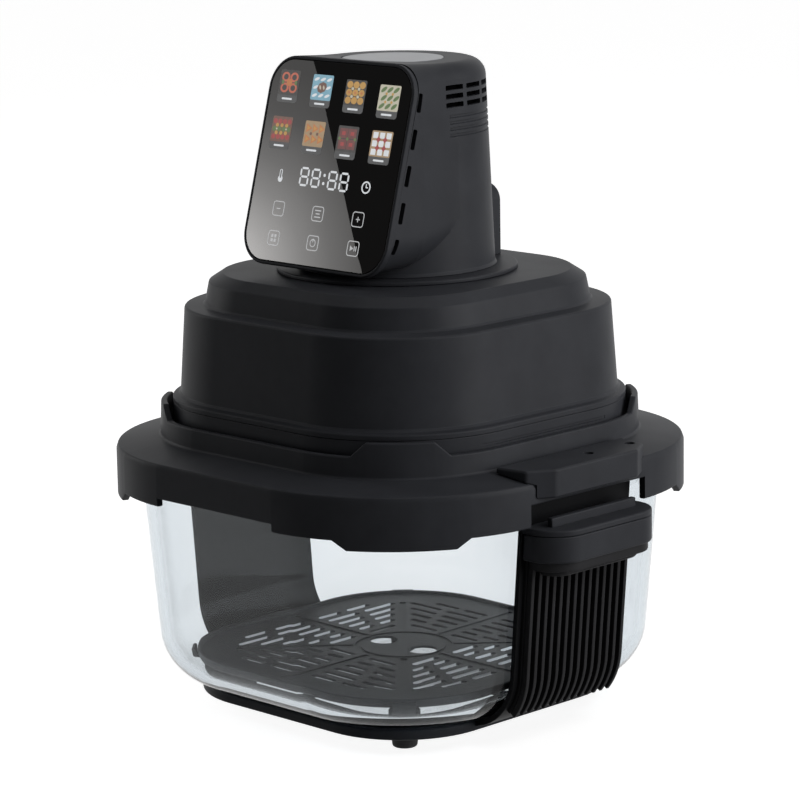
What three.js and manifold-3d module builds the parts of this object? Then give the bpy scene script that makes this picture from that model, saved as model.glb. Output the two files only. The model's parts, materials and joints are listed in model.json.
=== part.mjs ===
// Countertop air fryer: a lift-off heating head on a ring, a glass bowl and a cradle with two handles.
// Millimetres, +Z up. The origin is on the floor under the middle of the object. The display faces -Y.
import * as THREE from "three";
import { mergeVertices } from "three/addons/utils/BufferGeometryUtils.js";
import Module from "manifold-3d";

const wasm = await Module();
wasm.setup();

const quarter = Math.PI / 2;
const degree = Math.PI / 180;
const diagonalShare = Math.SQRT1_2;

// Shared by all pieces
const fit = 0.3; // gap between pieces that seat on each other
const overrun = 2; // how far a cutter passes a face
const cornerSteps = 6; // facets in each corner of a rounded square
const holeSteps = 8; // facets round a small hole
const screwSteps = 6; // facets round a screw
const footSteps = 10; // facets round a foot
const innerRoundSteps = 16; // facets round a turned piece inside
const shaftSteps = 12; // facets round the shaft and its bores
const roundSteps = 24; // facets round a large turned piece
const arcSteps = 2; // half the facets of a corner in a drawn shape
const plainSteps = 4; // facets in each corner of a hidden rounded square

// Feet
const footHeight = 9;
const footRadius = 7.4;
const footTipRadius = 6.4;
const footEdge = 1.2;
const footStudRadius = 3;
const footStudLength = 3.2;
const footInset = 21.57; // from the base's corner, along the diagonal

// Cradle base
const baseMargin = 6.3; // past the flat bottom of the bowl
const baseFlat = 40; // half of the straight part of a side
const baseThickness = 5.5;
const baseFloor = 1.8;
const baseWall = 4;
const baseEdge = 1.2;
const baseRibWidth = 2.4;
const bossRadius = 9.5;

// Glass bowl
const bowlHeight = 123.2;
const bowlFloorHalf = 84.7; // half-width of its flat bottom
const bowlFillet = 30;
const bowlTaper = 4.86 * degree;
const bowlFlat = 36;
const glassWall = 5;
const rimRound = 1.5;
const filletSteps = 4;

// Cradle arms
const armGap = 0.8; // between the arm and the glass
const armThickness = 3;
const armHalfWidth = 40.2;
const armDrop = 20; // from the bowl's rim down to the top of the arm
const panelDepth = 2;
const panelHalfWidth = 37.2;
const ribDepth = 3;
const ribWidth = 2.2;
const ribPitch = 5.4;
const ribCount = 14;
const ribStart = 50 * degree; // how far round the bottom curve the ribs begin
const ribDrop = 15; // from the top of the arm to the top of the ribs
const ribSteps = 2;

// Handles
const gripHalfWidth = 41;
const gripDepth = 22.65; // from the arm's panel to the outer face
const gripCorner = 18;
const gripHeight = 13.7;
const gripWall = 3;
const gripRoof = 4;
const gripEdge = 1.2;
const coverThickness = 3;
const coverEdge = 0.9;
const ridgeHalfLength = 31.5;
const ridgeSetback = 12.3; // from the handle's outer face to the ridge
const ridgeThickness = 3.4;
const ridgeHeight = 4.6;
const ridgeLean = 0.8;
const insertBand = 4.7;
const insertInset = 2;
const insertStep = 3.4;
const stepInset = 8;
const insertPlug = 6;
const insertWall = 2.2;
const insertRecess = 6.5; // depth of the finger recess under the handle
const handleScrewSetback = 13.3; // from the handle's outer face
const handleScrewHead = 2.5;
const screwHeadRadius = 3;
const screwHeadHeight = 1.8;
const screwRadius = 1.5;

// Crisper plate and its bumpers
const plateMargin = 10.8; // past the flat bottom of the bowl
const plateFlat = 35;
const plateThickness = 3;
const plateEdge = 1.5;
const plateRimHeight = 1.5;
const plateRimWidth = 2.4;
const plateLift = 7.2; // above the glass
const slotWidth = 3;
const slotRows = 4;
const firstRow = 33; // from the centre to the first row
const rowPitch = 12;
const slotMargin = 5.5; // from the slot's end to the groove on the axis
const diagonalMargin = 7;
const slotBridge = 5;
const longestSlot = 57;
const slotEndSteps = 1;
const grooveWidth = 2.2;
const grooveDepth = 1.1;
const grooveStart = 27;
const grooveMargin = 7.5; // from the plate's edge to the groove's end
const ringGrooveRadius = 24.6;
const fingerHoleRadius = 7.6;
const fingerHoleOffset = 14.5;
const bumperInset = 15; // from the plate's corner, along the diagonal
const bumperLength = 12;
const bumperDepth = 9;
const bumperLip = 2.5;
const bumperLipHeight = 3.2;
const bumperStrap = 2;

// Adapter ring: heights are above the lower edge of its skirt
const ringFlat = 38.5;
const skirtGap = 7.27; // between the bowl's rim and the skirt
const ringDraft = 1;
const ringEdge = 1;
const skirtThickness = 4;
const skirtHeight = 22.1;
const tabDrop = 4.9;
const tabHalfWidth = 27.3;
const tabShoulder = 34.5;
const frontCutHeight = 4.1;
const handleCutHeight = 11.4;
const cutClearance = 1.8; // on each side of the handle
const topRise = 3.9; // from the outer edge to the foot of the wall
const wallGap = 1.7; // between the wall and the pod
const wallFoot = 0.9;
const wallDraft = 0.4;
const wallThickness = 3.2;
const wallHeight = 36.8; // the low sides
const postHeight = 44.1;
const postHalfWidth = 17.2;
const postShoulder = 25.2;
const ledgeHeight = 28.7;
const ledgeInset = 1.5; // past the seat of the pod
const ledgeThickness = 3.5;
const ceilingHeight = 20; // over the rim of the bowl
const ceilingFall = 0.7;
const lipGap = 1.53; // between the glass and the lip that centres the ring inside it
const lipThickness = 3;
const lipHeight = 8.7;
const gasketHeight = 3.7;
const gasketInset = 0.4;

// Lift blocks on the ring
const blockStandout = 5.5; // past the skirt
const blockFaceHalf = 30.5;
const blockShoulder = 8; // from the face back to the shoulder
const blockShoulderHalf = 44;
const blockDepth = 26;
const blockBackHalf = 47;
const blockTop = 28.7;
const blockBottom = 14.2;
const blockEdge = 1.2;
const blockHoleRadius = 2.8;
const blockHoleSetback = 13.5; // from the face of the block
const blockHolePlaces = [8, 39.5]; // along the block
const blockHoleDepth = 2.6;
const blockScrewHeadRadius = 2.4;
const blockScrewHeadHeight = 1;
const blockScrewRadius = 1.3;
const blockScrewLength = 5;

// Dome: heights are above the seat of the pod
const domeFlat = 34.5;
const domeInset = 18.13; // from the bowl's rim in to the pod
const domeBaseHeight = 14.9;
const domeBaseWall = 3;
const domeBaseEdge = 1;
const domeLedgeWidth = 11.1;
const domeLedgeLow = 2;
const domeLedgeHigh = 4.2;
const domeSeatWidth = 6.1;
const recessHalfLength = 46;
const recessLow = 8.6;
const recessHeight = 1.7;
const recessDepth = 1.2;
const flangeStandout = 0.2;
const flangeHeight = 2.5;
const flangeEdge = 0.9;
const flangeWidth = 4.2;
const mainFoot = 20;
const mainDraft = 3;
const shoulderRise = 1.9; // from the main tier's top to the upper tier's foot
const tierEdge = 1.2;
const upperFlat = 31;
const shoulderWidth = 9.4; // between the two tiers
const upperDrop = 15.7; // from the top of the dome to the foot of the upper tier
const upperDraft = 2.3;
const crownRise = 5.1;
const crownFlat = 27;
const crownWidth = 5.5;
const domeWall = 3;
const domeBoreRadius = 42;
const bossInset = 7.29; // screw bosses, from the dome's corner along the diagonal
const bossOuterRadius = 3.8;
const bossBoreRadius = 1.7;
const bossClearance = 0.6;
const podScrewLength = 9;
const podScrewHead = 1.4;

// Round plinth under the neck
const discRadius = 63;
const discBoreRadius = 47;
const discHeight = 2;
const discEdge = 0.7;

// Head: heights are above the plinth
const neckFootRadius = 52.2;
const neckLowRadius = 51.3;
const neckTopRadius = 47.5;
const neckFootHeight = 1.6;
const headHeight = 106.9;
const shoulderDrop = 9.9; // from the top of the head to the shoulder
const shoulderMidDrop = 3.3;
const shoulderMidInset = 1.9; // from the top of the neck
const crownInset = 8;
const headWall = 2.8;
const hoodFrontReach = 76;
const hoodMidReach = 34;
const hoodBackReach = 3; // past the axis
const hoodLow = 4.4;
const hoodBackLow = 7;
const hoodRise = 1.7; // over the top of the neck
const hoodFrontLowHalf = 52.4;
const hoodFrontTopHalf = 52.8;
const hoodBackLowTuck = 1.1; // inside the neck
const hoodBackTopTuck = 0.3;
const hoodLowCorner = 19;
const hoodBackLowCorner = 25;
const hoodTopCorner = 16.5;
const hoodBackTopCorner = 11;
const hoodCornerSteps = 4;

// Vents and grooves in the neck
const ventColumns = 15;
const ventFirst = -12 * degree; // middle of the first column, from +X towards +Y
const hiddenFacets = 8; // of the neck, inside the hood
const ventBar = 1.05; // between two columns
const ventHeight = 3.2;
const ventDrops = [10, 14.1, 18.2]; // from the top of the head to the middle of each row
const grooveDrops = [24.8, 27.8, 31.1, 34.5];
const neckGrooveHeight = 1.6;
const neckGrooveDepth = 0.8;
const neckGrooveEnd = 11 * degree;

// Baffle behind the vents
const baffleInset = 6.5; // from the outside of the neck
const baffleWall = 1.6;
const baffleDrop = 4; // below the lowest row of vents
const baffleRoot = 3; // under the top of the head

// Side slots behind the bezel
const sideSlotLength = 11.5;
const sideSlotWidth = 3.2;
const sideSlotMargin = 16.5; // from the ends of the display to the middle of the first slot
const sideSlotCount = 5;
const sideSlotShift = -2.5;
const sideSlotBehind = 9.5;

// Housing of the power inlet at the back of the neck
const inletHousingHalf = 22;
const inletStandout = 5.7; // past the foot of the neck
const inletHousingHeight = 39.5;
const inletHousingCorner = 9;
const inletWidth = 27;
const inletHeight = 20;
const inletMotorGap = 8; // between the inlet and the motor
const inletCentre = 17; // above the plinth
const inletCorner = 2;
const inletFlange = 2;
const inletFlangeThickness = 1.5;
const inletCavityWidth = 22;
const inletCavityHeight = 15;
const inletBack = 6; // behind its cavity
const contactWidth = 4;
const contactThickness = 2;
const contactSetback = 3; // from the mouth of the cavity
const contactSpacing = 6;
const contactPlate = 1.6;

// Top insert
const insertRadius = 26.5;
const insertThickness = 2;
const insertShift = 1; // towards the display
const insertStandout = 0.2;

// Display: the plane leans back
const displayLean = 15.4 * degree;
const displayHalfWidth = 52.8;
const bezelOverhang = 0.46; // past the hood, above and below
const displayCorner = 17;
const displayReach = 49.4; // from the axis to the middle of the glass
const displayDrop = 0.25; // under the middle of the hood
const bezelDepth = 5;
const bezelEdge = 0.8;
const bezelRim = 2.2;
const bezelLip = 3;
const displayGlassThickness = 1.8;
const boardSideInset = 6.3;
const boardEndInset = 12.5;
const boardCorner = 8;
const boardThickness = 1.6;
const boardStandoff = 2;
const standoffRadius = 2.4;

// Heater space: heights are above the seat of the pod
const panGap = 9.6; // between the pan and the foot of the dome
const panFlat = 34.5;
const panFlangeWidth = 6;
const panDraft = 4;
const panFlangeHeight = 5.8;
const panLift = 5.9; // over the fan
const panThickness = 1.2;
const panRound = 5;
const padInset = 8;
const padThickness = 9;
const padClearance = 0.8;
const guardThickness = 1;
const guardHub = 14;
const guardRings = 3;
const guardMargin = 8; // from the last gap to the edge
const guardBar = 4;
const guardSpokes = 4;
const coilRadius = 3.2;
const coilInset = 13; // from the top edge of the pan
const coilWidth = 34;
const coilTurns = 2;
const coilLift = 13.5; // over the guard
const coilDrop = 8.4; // the return run passes this far below the turns
const coilLegSpacing = 12;
const coilLegDrop = 10.7; // from the top of the dome
const coilSides = 5;
const coilPathSteps = 50;
const terminalLength = 38;
const terminalDepth = 12;
const terminalHeight = 7;
const probeInset = 15; // from the top edge of the pan
const probeRadius = 2.4;
const probeBottom = 16;
const probeCollarRadius = 5;
const probeCollarHeight = 3;
const probeDrop = 12.7; // from the top of the dome
const fuseLength = 22;
const fuseWidth = 8;
const fuseHeight = 6;
const fuseInset = 27; // from the edge of the pad

// Rotor
const shaftRadius = 4;
const shaftTail = 7; // under the fan
const shaftRise = 42.3; // over the dome
const fanGap = 12; // between the fan and the probe's axis
const fanHubRadius = 9;
const fanLift = 8.8; // over the coil
const fanHeight = 15;
const fanPlate = 1.6;
const bladeCount = 8;
const bladeThickness = 1.6;
const bladeInner = 20;
const bladeSweep = 22 * degree;
const nutRadius = 8;
const nutHeight = 5.6;
const coolingRadius = 36;
const coolingLift = 5.3; // over the pad
const coolingCeiling = 7.2; // from the fan to the top of the dome
const coolingHeight = 9;
const coolingBlades = 7;
const coolingInner = 12;

// Motor: heights are above the dome
const bracketRadius = 46.3;
const bracketThickness = 2;
const bracketHoleReach = 31;
const bracketHoleRadius = 7;
const bracketHoles = 3;
const postRadius = 3;
const postReach = 34;
const boardHeight = 54;
const bushRadius = 8;
const bushFlangeRadius = 11;
const bushFlange = 1.5;
const bushDepth = 5;
const motorRadius = 29;
const motorHeight = 31;
const motorCapRadius = 20;
const motorCapHeight = 5;
const motorCollar = 1.6;

// Power board in the neck
const powerBoardInset = 9.5; // from the outside of the neck
const capacitorRadius = 8;
const capacitorHeight = 20;
const transformerSize = 24;
const transformerHeight = 18;
const relayLength = 20;
const relayWidth = 12;
const relayHeight = 14;
const partReach = 20;

// Interlock switch and its plunger
const switchShift = 1.5; // from the plunger's axis to the middle of the switch
const switchWidth = 7;
const switchLength = 20;
const switchHeight = 7.4;
const switchLow = 7.3;
const plungerInset = 5.4; // from the outside of the dome base
const plungerRadius = 1.3;
const plungerClearance = 0.4;
const plungerLength = 10.4;
const plungerCollarRadius = 2;
const plungerCollarLow = 8.1;
const plungerCollarHeight = 1.1;
const plungerTravel = 2;
const switchBoreDepth = 4.2;

// Worked out from the sizes above
const baseHalfWidth = bowlFloorHalf + baseMargin;
const footReach = cornerReach(baseHalfWidth, baseFlat) - footInset;
const baseTop = footHeight + baseThickness;
const bowlSeat = baseTop + fit;
const rimTop = bowlSeat + bowlHeight;
const rimHalfWidth = bowlSide(0, 0, bowlHeight).pop()[0];
const armHeight = rimTop - armDrop;
const ribTop = armHeight - ribDrop;
const gripReach = panelReach(armHeight) + gripDepth;
const ridgeReach = gripReach - ridgeSetback;
const handleScrewPlace = gripReach - handleScrewSetback;
const plateHalfWidth = bowlFloorHalf + plateMargin;
const grooveEnd = plateHalfWidth - grooveMargin;
const bumperReach = cornerReach(plateHalfWidth, plateFlat) - bumperInset;
const ringHalfWidth = rimHalfWidth + skirtGap + skirtThickness;
const cutHalfWidth = gripHalfWidth + cutClearance;
const lipHalfWidth = rimHalfWidth - glassWall - lipGap;
const blockReach = ringHalfWidth + blockStandout;
const blockShoulderReach = blockReach - blockShoulder;
const blockBackReach = blockReach - blockDepth;
const blockHoleReach = blockReach - blockHoleSetback;
const domeBaseHalf = rimHalfWidth - domeInset;
const domeLedgeHalf = domeBaseHalf - domeLedgeWidth;
const wallHalfWidth = domeBaseHalf + wallGap + wallThickness + wallDraft;
const ledgeHalfWidth = domeBaseHalf - domeSeatWidth - ledgeInset;
const flangeHalf = domeBaseHalf + flangeStandout;
const mainFootHalf = flangeHalf - flangeWidth;
const mainTopHalf = mainFootHalf - mainDraft;
const upperFootHalf = mainTopHalf - shoulderWidth;
const upperTopHalf = upperFootHalf - upperDraft;
const crownHalf = upperTopHalf - crownWidth;
const bossReach = cornerReach(domeBaseHalf, domeFlat) - bossInset;
const panHalf = mainFootHalf - panGap;
const panFlangeHalf = panHalf + panFlangeWidth;
const panTopHalf = panHalf - panDraft;
const padHalf = panTopHalf - padInset;
const guardHalf = panFlangeHalf;
const coilOuter = panTopHalf - coilInset;
const coilInner = coilOuter - coilWidth;
const probeReach = panTopHalf - probeInset;
const fuseReach = padHalf - fuseInset;
const fanRadius = probeReach - fanGap;
const guardPitch = (guardHalf - guardHub - guardMargin) / guardRings;
const plungerReach = domeBaseHalf - plungerInset;
const switchReach = plungerReach - switchShift;
const ringSeat = rimTop + 2 * fit + gasketHeight - ceilingHeight;
const podSeat = ringSeat + ledgeHeight + fit;
const gripTop = armHeight;
const gripBottom = gripTop - gripHeight;
const plateSeat = glassWall + plateLift;
const coilHeight = domeLedgeHigh + fit + guardThickness + coilLift;
const fanBottom = coilHeight + coilRadius + fanLift;
const panHeight = fanBottom + fanHeight + panLift;
const coolingBottom = panHeight + fit + padThickness + coolingLift;
const domeHeight = coolingBottom + coolingHeight + coolingCeiling;
const upperTop = domeHeight - crownRise;
const upperFoot = domeHeight - upperDrop;
const mainTop = upperFoot - shoulderRise;
const coilLegTop = domeHeight - coilLegDrop;
const probeTop = domeHeight - probeDrop;
const shaftBottom = fanBottom - shaftTail;
const shaftLength = domeHeight + shaftRise - shaftBottom;
const discSeat = domeHeight + fit;
const headSeat = discSeat + discHeight + fit;
const ringCorner = (reach) => (reach + overrun) * 2;
const neckShoulder = headHeight - shoulderDrop;
const shoulderMidHeight = headHeight - shoulderMidDrop;
const shoulderMidRadius = neckTopRadius - shoulderMidInset;
const crownRadius = neckTopRadius - crownInset;
const hoodTop = headHeight + hoodRise;
const hoodBackLowHalf = neckLowRadius - hoodBackLowTuck;
const hoodBackTopHalf = neckTopRadius - hoodBackTopTuck;
const displayHalfHeight = (hoodTop - hoodLow) / 2 / Math.cos(displayLean) + bezelOverhang;
const displayMiddle = (hoodTop + hoodLow) / 2 - displayDrop;
const sideSlotPitch = (2 * (displayHalfHeight - sideSlotMargin)) / (sideSlotCount - 1);
const ventPitch = (2 * quarter - 2 * ventFirst) / (ventColumns - 1);
const ventWidth = 2 * neckTopRadius * Math.sin(ventPitch / 2) - ventBar;
const ventRows = ventDrops.map((drop) => headHeight - drop);
const groovePlaces = grooveDrops.map((drop) => headHeight - drop);
const baffleRadius = neckTopRadius - baffleInset;
const powerBoardRadius = neckTopRadius - powerBoardInset;
const inletHousingReach = neckLowRadius + inletStandout;
const inletDepth = inletHousingReach - motorRadius - inletMotorGap;
const inletCavityDepth = inletDepth - inletBack;
const contactLength = inletCavityDepth - contactSetback;

// Materials
const paint = (color, roughness, metalness = 0, more = {}) =>
  new THREE.MeshStandardMaterial({ color, roughness, metalness, ...more });
const blackPlastic = paint(0x232427, 0.55);
const darkPlastic = paint(0x1a1a1c, 0.6);
const greyPlastic = paint(0x6f7378, 0.45);
const rubber = paint(0x111112, 0.85);
const silicone = paint(0x2a2b2d, 0.8);
const clearGlass = paint(0xdfe9ee, 0.05, 0, { transparent: true, opacity: 0.3 });
const blackGlass = paint(0x0c0b0b, 0.08);
const coated = paint(0x3d3e40, 0.6, 0.2);
const steel = paint(0xb4b6b8, 0.35, 1);
const darkSteel = paint(0x55585c, 0.4, 1);
const ceramic = paint(0xe7e2d6, 0.8);
const wool = paint(0xd9d4c4, 0.95);
const board = paint(0x1f5a35, 0.6);
const brass = paint(0xb89a4f, 0.35, 1);

// How far the corner of a rounded square lies from the axis, along the diagonal.
function cornerReach(halfWidth, flat) {
  return flat / diagonalShare + (halfWidth - flat);
}

// A geometry with only merged positions and no collapsed triangles, its faces pointing outwards.
function tidy(geometry) {
  const bare = new THREE.BufferGeometry();
  bare.setAttribute("position", geometry.getAttribute("position").clone());
  if (geometry.index) bare.setIndex(geometry.index.clone());
  const merged = mergeVertices(bare, 1e-4);
  const index = merged.index.array;
  const kept = [];
  for (let i = 0; i < index.length; i += 3) {
    const [a, b, c] = [index[i], index[i + 1], index[i + 2]];
    if (a !== b && b !== c && a !== c) kept.push(a, b, c);
  }
  merged.setIndex(kept);
  if (signedVolume(merged) < 0) {
    for (let i = 0; i < kept.length; i += 3) [kept[i + 1], kept[i + 2]] = [kept[i + 2], kept[i + 1]];
    merged.setIndex(kept);
  }
  return merged;
}

function signedVolume(geometry) {
  const place = geometry.getAttribute("position");
  const index = geometry.index.array;
  const [a, b, c] = [new THREE.Vector3(), new THREE.Vector3(), new THREE.Vector3()];
  let total = 0;
  for (let i = 0; i < index.length; i += 3) {
    a.fromBufferAttribute(place, index[i]);
    b.fromBufferAttribute(place, index[i + 1]);
    c.fromBufferAttribute(place, index[i + 2]);
    total += a.dot(b.cross(c));
  }
  return total;
}

function toSolid(geometry) {
  const clean = tidy(geometry);
  return new wasm.Manifold(
    new wasm.Mesh({
      numProp: 3,
      vertProperties: new Float32Array(clean.getAttribute("position").array),
      triVerts: new Uint32Array(clean.index.array),
    }),
  );
}

function toGeometry(solid) {
  const mesh = solid.getMesh();
  const geometry = new THREE.BufferGeometry();
  geometry.setAttribute("position", new THREE.BufferAttribute(new Float32Array(mesh.vertProperties), 3));
  geometry.setIndex(new THREE.BufferAttribute(new Uint32Array(mesh.triVerts), 1));
  return geometry;
}

const join = (...parts) => toGeometry(parts.map(toSolid).reduce((a, b) => a.add(b)));
const cut = (body, ...tools) => toGeometry(tools.map(toSolid).reduce((a, b) => a.subtract(b), toSolid(body)));
const common = (a, b) => toGeometry(toSolid(a).intersect(toSolid(b)));

// Points of a rounded square: straight sides 2 * flat long, and round corners.
function outline(halfWidth, flat, z, steps = cornerSteps) {
  const radius = halfWidth - flat;
  const points = [];
  for (let corner = 0; corner < 4; corner++) {
    const x = (corner === 0 || corner === 3 ? 1 : -1) * flat;
    const y = (corner < 2 ? 1 : -1) * flat;
    for (let step = 0; step <= steps; step++) {
      const turn = quarter * (corner + step / steps);
      points.push(new THREE.Vector3(x + radius * Math.cos(turn), y + radius * Math.sin(turn), z));
    }
  }
  return points;
}

// A skin over rings of points. It is closed by two caps, or by joining the last ring to the first.
function skin(rings, looped = false) {
  const count = rings[0].length;
  const points = rings.flat();
  const faces = [];
  const bands = looped ? rings.length : rings.length - 1;
  for (let band = 0; band < bands; band++) {
    const low = band * count;
    const high = ((band + 1) % rings.length) * count;
    for (let i = 0; i < count; i++) {
      const next = (i + 1) % count;
      faces.push(low + i, low + next, high + next, low + i, high + next, high + i);
    }
  }
  if (!looped) {
    for (const [ring, flipped] of [[0, true], [rings.length - 1, false]]) {
      const middle = new THREE.Vector3();
      rings[ring].forEach((point) => middle.add(point));
      points.push(middle.divideScalar(count));
      for (let i = 0; i < count; i++) {
        const pair = [ring * count + i, ring * count + ((i + 1) % count)];
        if (flipped) pair.reverse();
        faces.push(points.length - 1, ...pair);
      }
    }
  }
  const geometry = new THREE.BufferGeometry().setFromPoints(points);
  geometry.setIndex(faces);
  return tidy(geometry);
}

const squares = (rows, steps) => rows.map(([halfWidth, flat, z]) => outline(halfWidth, flat, z, steps));

function polygon(points) {
  return new THREE.Shape(points.map(([x, y]) => new THREE.Vector2(x, y)));
}

function roundedRect(halfWidth, halfHeight, radius) {
  const shape = new THREE.Shape();
  const [x, y] = [halfWidth - radius, halfHeight - radius];
  shape.moveTo(halfWidth, -y);
  shape.lineTo(halfWidth, y);
  shape.absarc(x, y, radius, 0, quarter);
  shape.lineTo(-x, halfHeight);
  shape.absarc(-x, y, radius, quarter, 2 * quarter);
  shape.lineTo(-halfWidth, -y);
  shape.absarc(-x, -y, radius, 2 * quarter, 3 * quarter);
  shape.lineTo(x, -halfHeight);
  shape.absarc(x, -y, radius, 3 * quarter, 4 * quarter);
  return shape;
}

// A shape in plan, from one height to another.
function upright(shape, low, high, curveSegments = arcSteps) {
  const settings = { depth: high - low, bevelEnabled: false, curveSegments };
  const geometry = new THREE.ExtrudeGeometry(shape, settings);
  return tidy(geometry.translate(0, 0, low));
}

// A profile in x and z, from one y to another.
function across(shape, from, to, curveSegments = arcSteps) {
  const geometry = new THREE.ExtrudeGeometry(shape, { depth: to - from, bevelEnabled: false, curveSegments });
  return tidy(geometry.rotateX(quarter).translate(0, to, 0));
}

// A profile of radius and height, turned round the z axis.
function turned(points, steps = roundSteps) {
  const profile = points.map(([radius, z]) => new THREE.Vector2(radius, z));
  return tidy(new THREE.LatheGeometry(profile, steps).rotateX(quarter));
}

function cylinder(radius, low, high, x = 0, y = 0, steps = holeSteps) {
  return turned([[0, low], [radius, low], [radius, high], [0, high]], steps).translate(x, y, 0);
}

function block(width, depth, low, high, x = 0, y = 0) {
  return tidy(new THREE.BoxGeometry(width, depth, high - low)).translate(x, y, (low + high) / 2);
}

function tube(inner, outer, low, high, steps = roundSteps) {
  return turned([[inner, low], [outer, low], [outer, high], [inner, high], [inner, low]], steps);
}

const mirrored = (points) => [...points, ...points.map(([x, y]) => [x, -y]).reverse()];

function mesh(name, geometry, material) {
  const shown = geometry.toNonIndexed();
  shown.computeVertexNormals();
  const made = new THREE.Mesh(shown, material);
  made.name = name;
  return made;
}

// Places at the four corners, at a reach along the diagonals.
const cornerNames = ["back_right", "back_left", "front_left", "front_right"];
const cornerPlace = (reach, corner) => [
  reach * Math.cos(quarter * (corner + 1 / 2)),
  reach * Math.sin(quarter * (corner + 1 / 2)),
];

// A bar along both diagonals whose ends slope: used for the ring's corner posts and tabs.
function diagonalBars(halfWidth, shoulder, narrowAt, wideAt, reach) {
  const far = narrowAt + (narrowAt > wideAt ? overrun : -overrun);
  const bar = polygon([[-halfWidth, far], [-halfWidth, narrowAt], [-shoulder, wideAt], [shoulder, wideAt],
    [halfWidth, narrowAt], [halfWidth, far]]);
  const one = across(bar, -reach, reach);
  return [one.clone().rotateZ(quarter / 2), one.clone().rotateZ(-quarter / 2)];
}

// The outside of the bowl at the middle of a side, offset outwards, as half-width and height.
function bowlSide(offset, startTurn, top, steps = filletSteps) {
  const radius = bowlFillet + offset;
  const endTurn = quarter - bowlTaper;
  const points = [];
  for (let step = 0; step <= steps; step++) {
    const turn = startTurn + ((endTurn - startTurn) * step) / steps;
    points.push([bowlFloorHalf + radius * Math.sin(turn), bowlFillet - radius * Math.cos(turn)]);
  }
  const [x, z] = points[points.length - 1];
  points.push([x + (top - z) * Math.tan(bowlTaper), top]);
  return points;
}

// Cradle

// A layer of the arm between two offsets from the glass.
function armLayer(inner, outer, startTurn, top, [from, to], [innerSteps, outerSteps]) {
  const inside = bowlSide(inner, startTurn, top, innerSteps);
  const outside = bowlSide(outer, startTurn, top, outerSteps);
  return across(polygon([...outside, ...inside.reverse()]), from, to).translate(0, 0, bowlSeat);
}

function armOf(side) {
  const top = armHeight - bowlSeat;
  const flangeOut = armGap + armThickness;
  const panelOut = flangeOut + panelDepth;
  const layers = [
    armLayer(armGap, flangeOut, 0, top, [-armHalfWidth, armHalfWidth], [filletSteps, filletSteps]),
    armLayer(flangeOut - fit, panelOut, ribStart, top, [-panelHalfWidth, panelHalfWidth], [1, ribSteps]),
  ];
  const first = (-ribPitch * (ribCount - 1)) / 2;
  for (let rib = 0; rib < ribCount; rib++) {
    const middle = first + rib * ribPitch;
    const width = [middle - ribWidth / 2, middle + ribWidth / 2];
    layers.push(armLayer(flangeOut, panelOut + ribDepth, ribStart, ribTop - bowlSeat, width, [1, ribSteps]));
  }
  const arm = join(...layers);
  return side > 0 ? arm : arm.rotateZ(2 * quarter);
}

function cradleFrame() {
  const plate = skin(squares([
    [baseHalfWidth - baseEdge, baseFlat, footHeight],
    [baseHalfWidth, baseFlat, footHeight + baseEdge],
    [baseHalfWidth, baseFlat, baseTop - baseEdge],
    [baseHalfWidth - baseEdge, baseFlat, baseTop],
  ]));
  const insideHalf = baseHalfWidth - baseWall;
  const roof = baseTop - baseFloor;
  let hollow = skin(squares([[insideHalf, baseFlat, footHeight - overrun], [insideHalf, baseFlat, roof]]));
  const kept = [
    block(2 * baseHalfWidth, baseRibWidth, footHeight, roof + overrun),
    block(baseRibWidth, 2 * baseHalfWidth, footHeight, roof + overrun),
  ];
  for (let corner = 0; corner < 4; corner++) {
    const [x, y] = cornerPlace(footReach, corner);
    kept.push(cylinder(bossRadius, footHeight, roof + overrun, x, y));
  }
  hollow = cut(hollow, ...kept);
  const studs = cornerNames.map((name, corner) => {
    const [x, y] = cornerPlace(footReach, corner);
    return cylinder(footStudRadius + fit, footHeight - overrun, footHeight + footStudLength, x, y);
  });
  return cut(join(cut(plate, hollow), armOf(1), armOf(-1)), ...studs);
}

function foot() {
  return turned([
    [0, 0],
    [footTipRadius - footEdge, 0],
    [footTipRadius, footEdge],
    [footRadius, footHeight - fit],
    [footStudRadius, footHeight - fit],
    [footStudRadius, footHeight + footStudLength - fit],
    [0, footHeight + footStudLength - fit],
  ], footSteps);
}

// Where the outside of the arm's panel lies at a height above the floor.
function panelReach(height, offset = 0) {
  const points = bowlSide(armGap + armThickness + panelDepth + offset, 0, height - bowlSeat);
  return points[points.length - 1][0];
}

// The plan of a handle, inset from its outer faces.
function handlePlan(inset, back) {
  const [reach, half] = [gripReach - inset, gripHalfWidth - inset];
  const radius = Math.min(gripCorner - inset, reach - back);
  const shape = new THREE.Shape();
  shape.moveTo(back, -half);
  shape.lineTo(reach - radius, -half);
  shape.absarc(reach - radius, -half + radius, radius, -quarter, 0);
  shape.lineTo(reach, half - radius);
  shape.absarc(reach - radius, half - radius, radius, 0, quarter);
  shape.lineTo(back, half);
  return shape;
}

function handleGrip() {
  const back = armHalfWidth;
  const body = join(
    upright(handlePlan(gripEdge, back), gripBottom, gripTop),
    upright(handlePlan(0, back), gripBottom + gripEdge, gripTop),
  );
  const lowBack = panelReach(gripBottom, fit);
  const highBack = panelReach(gripTop, fit);
  const slope = (highBack - lowBack) / gripHeight;
  const arm = polygon([
    [0, gripBottom - overrun],
    [lowBack - slope * overrun, gripBottom - overrun],
    [highBack + slope * overrun, gripTop + overrun],
    [0, gripTop + overrun],
  ]);
  const hollowTop = gripTop - gripRoof;
  const hollow = upright(handlePlan(gripWall, highBack + gripWall), gripBottom - overrun, hollowTop);
  const bore = cylinder(screwRadius + fit, hollowTop - overrun, gripTop - gripEdge, handleScrewPlace);
  return cut(body, across(arm, -gripReach, gripReach), hollow, bore);
}

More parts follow.
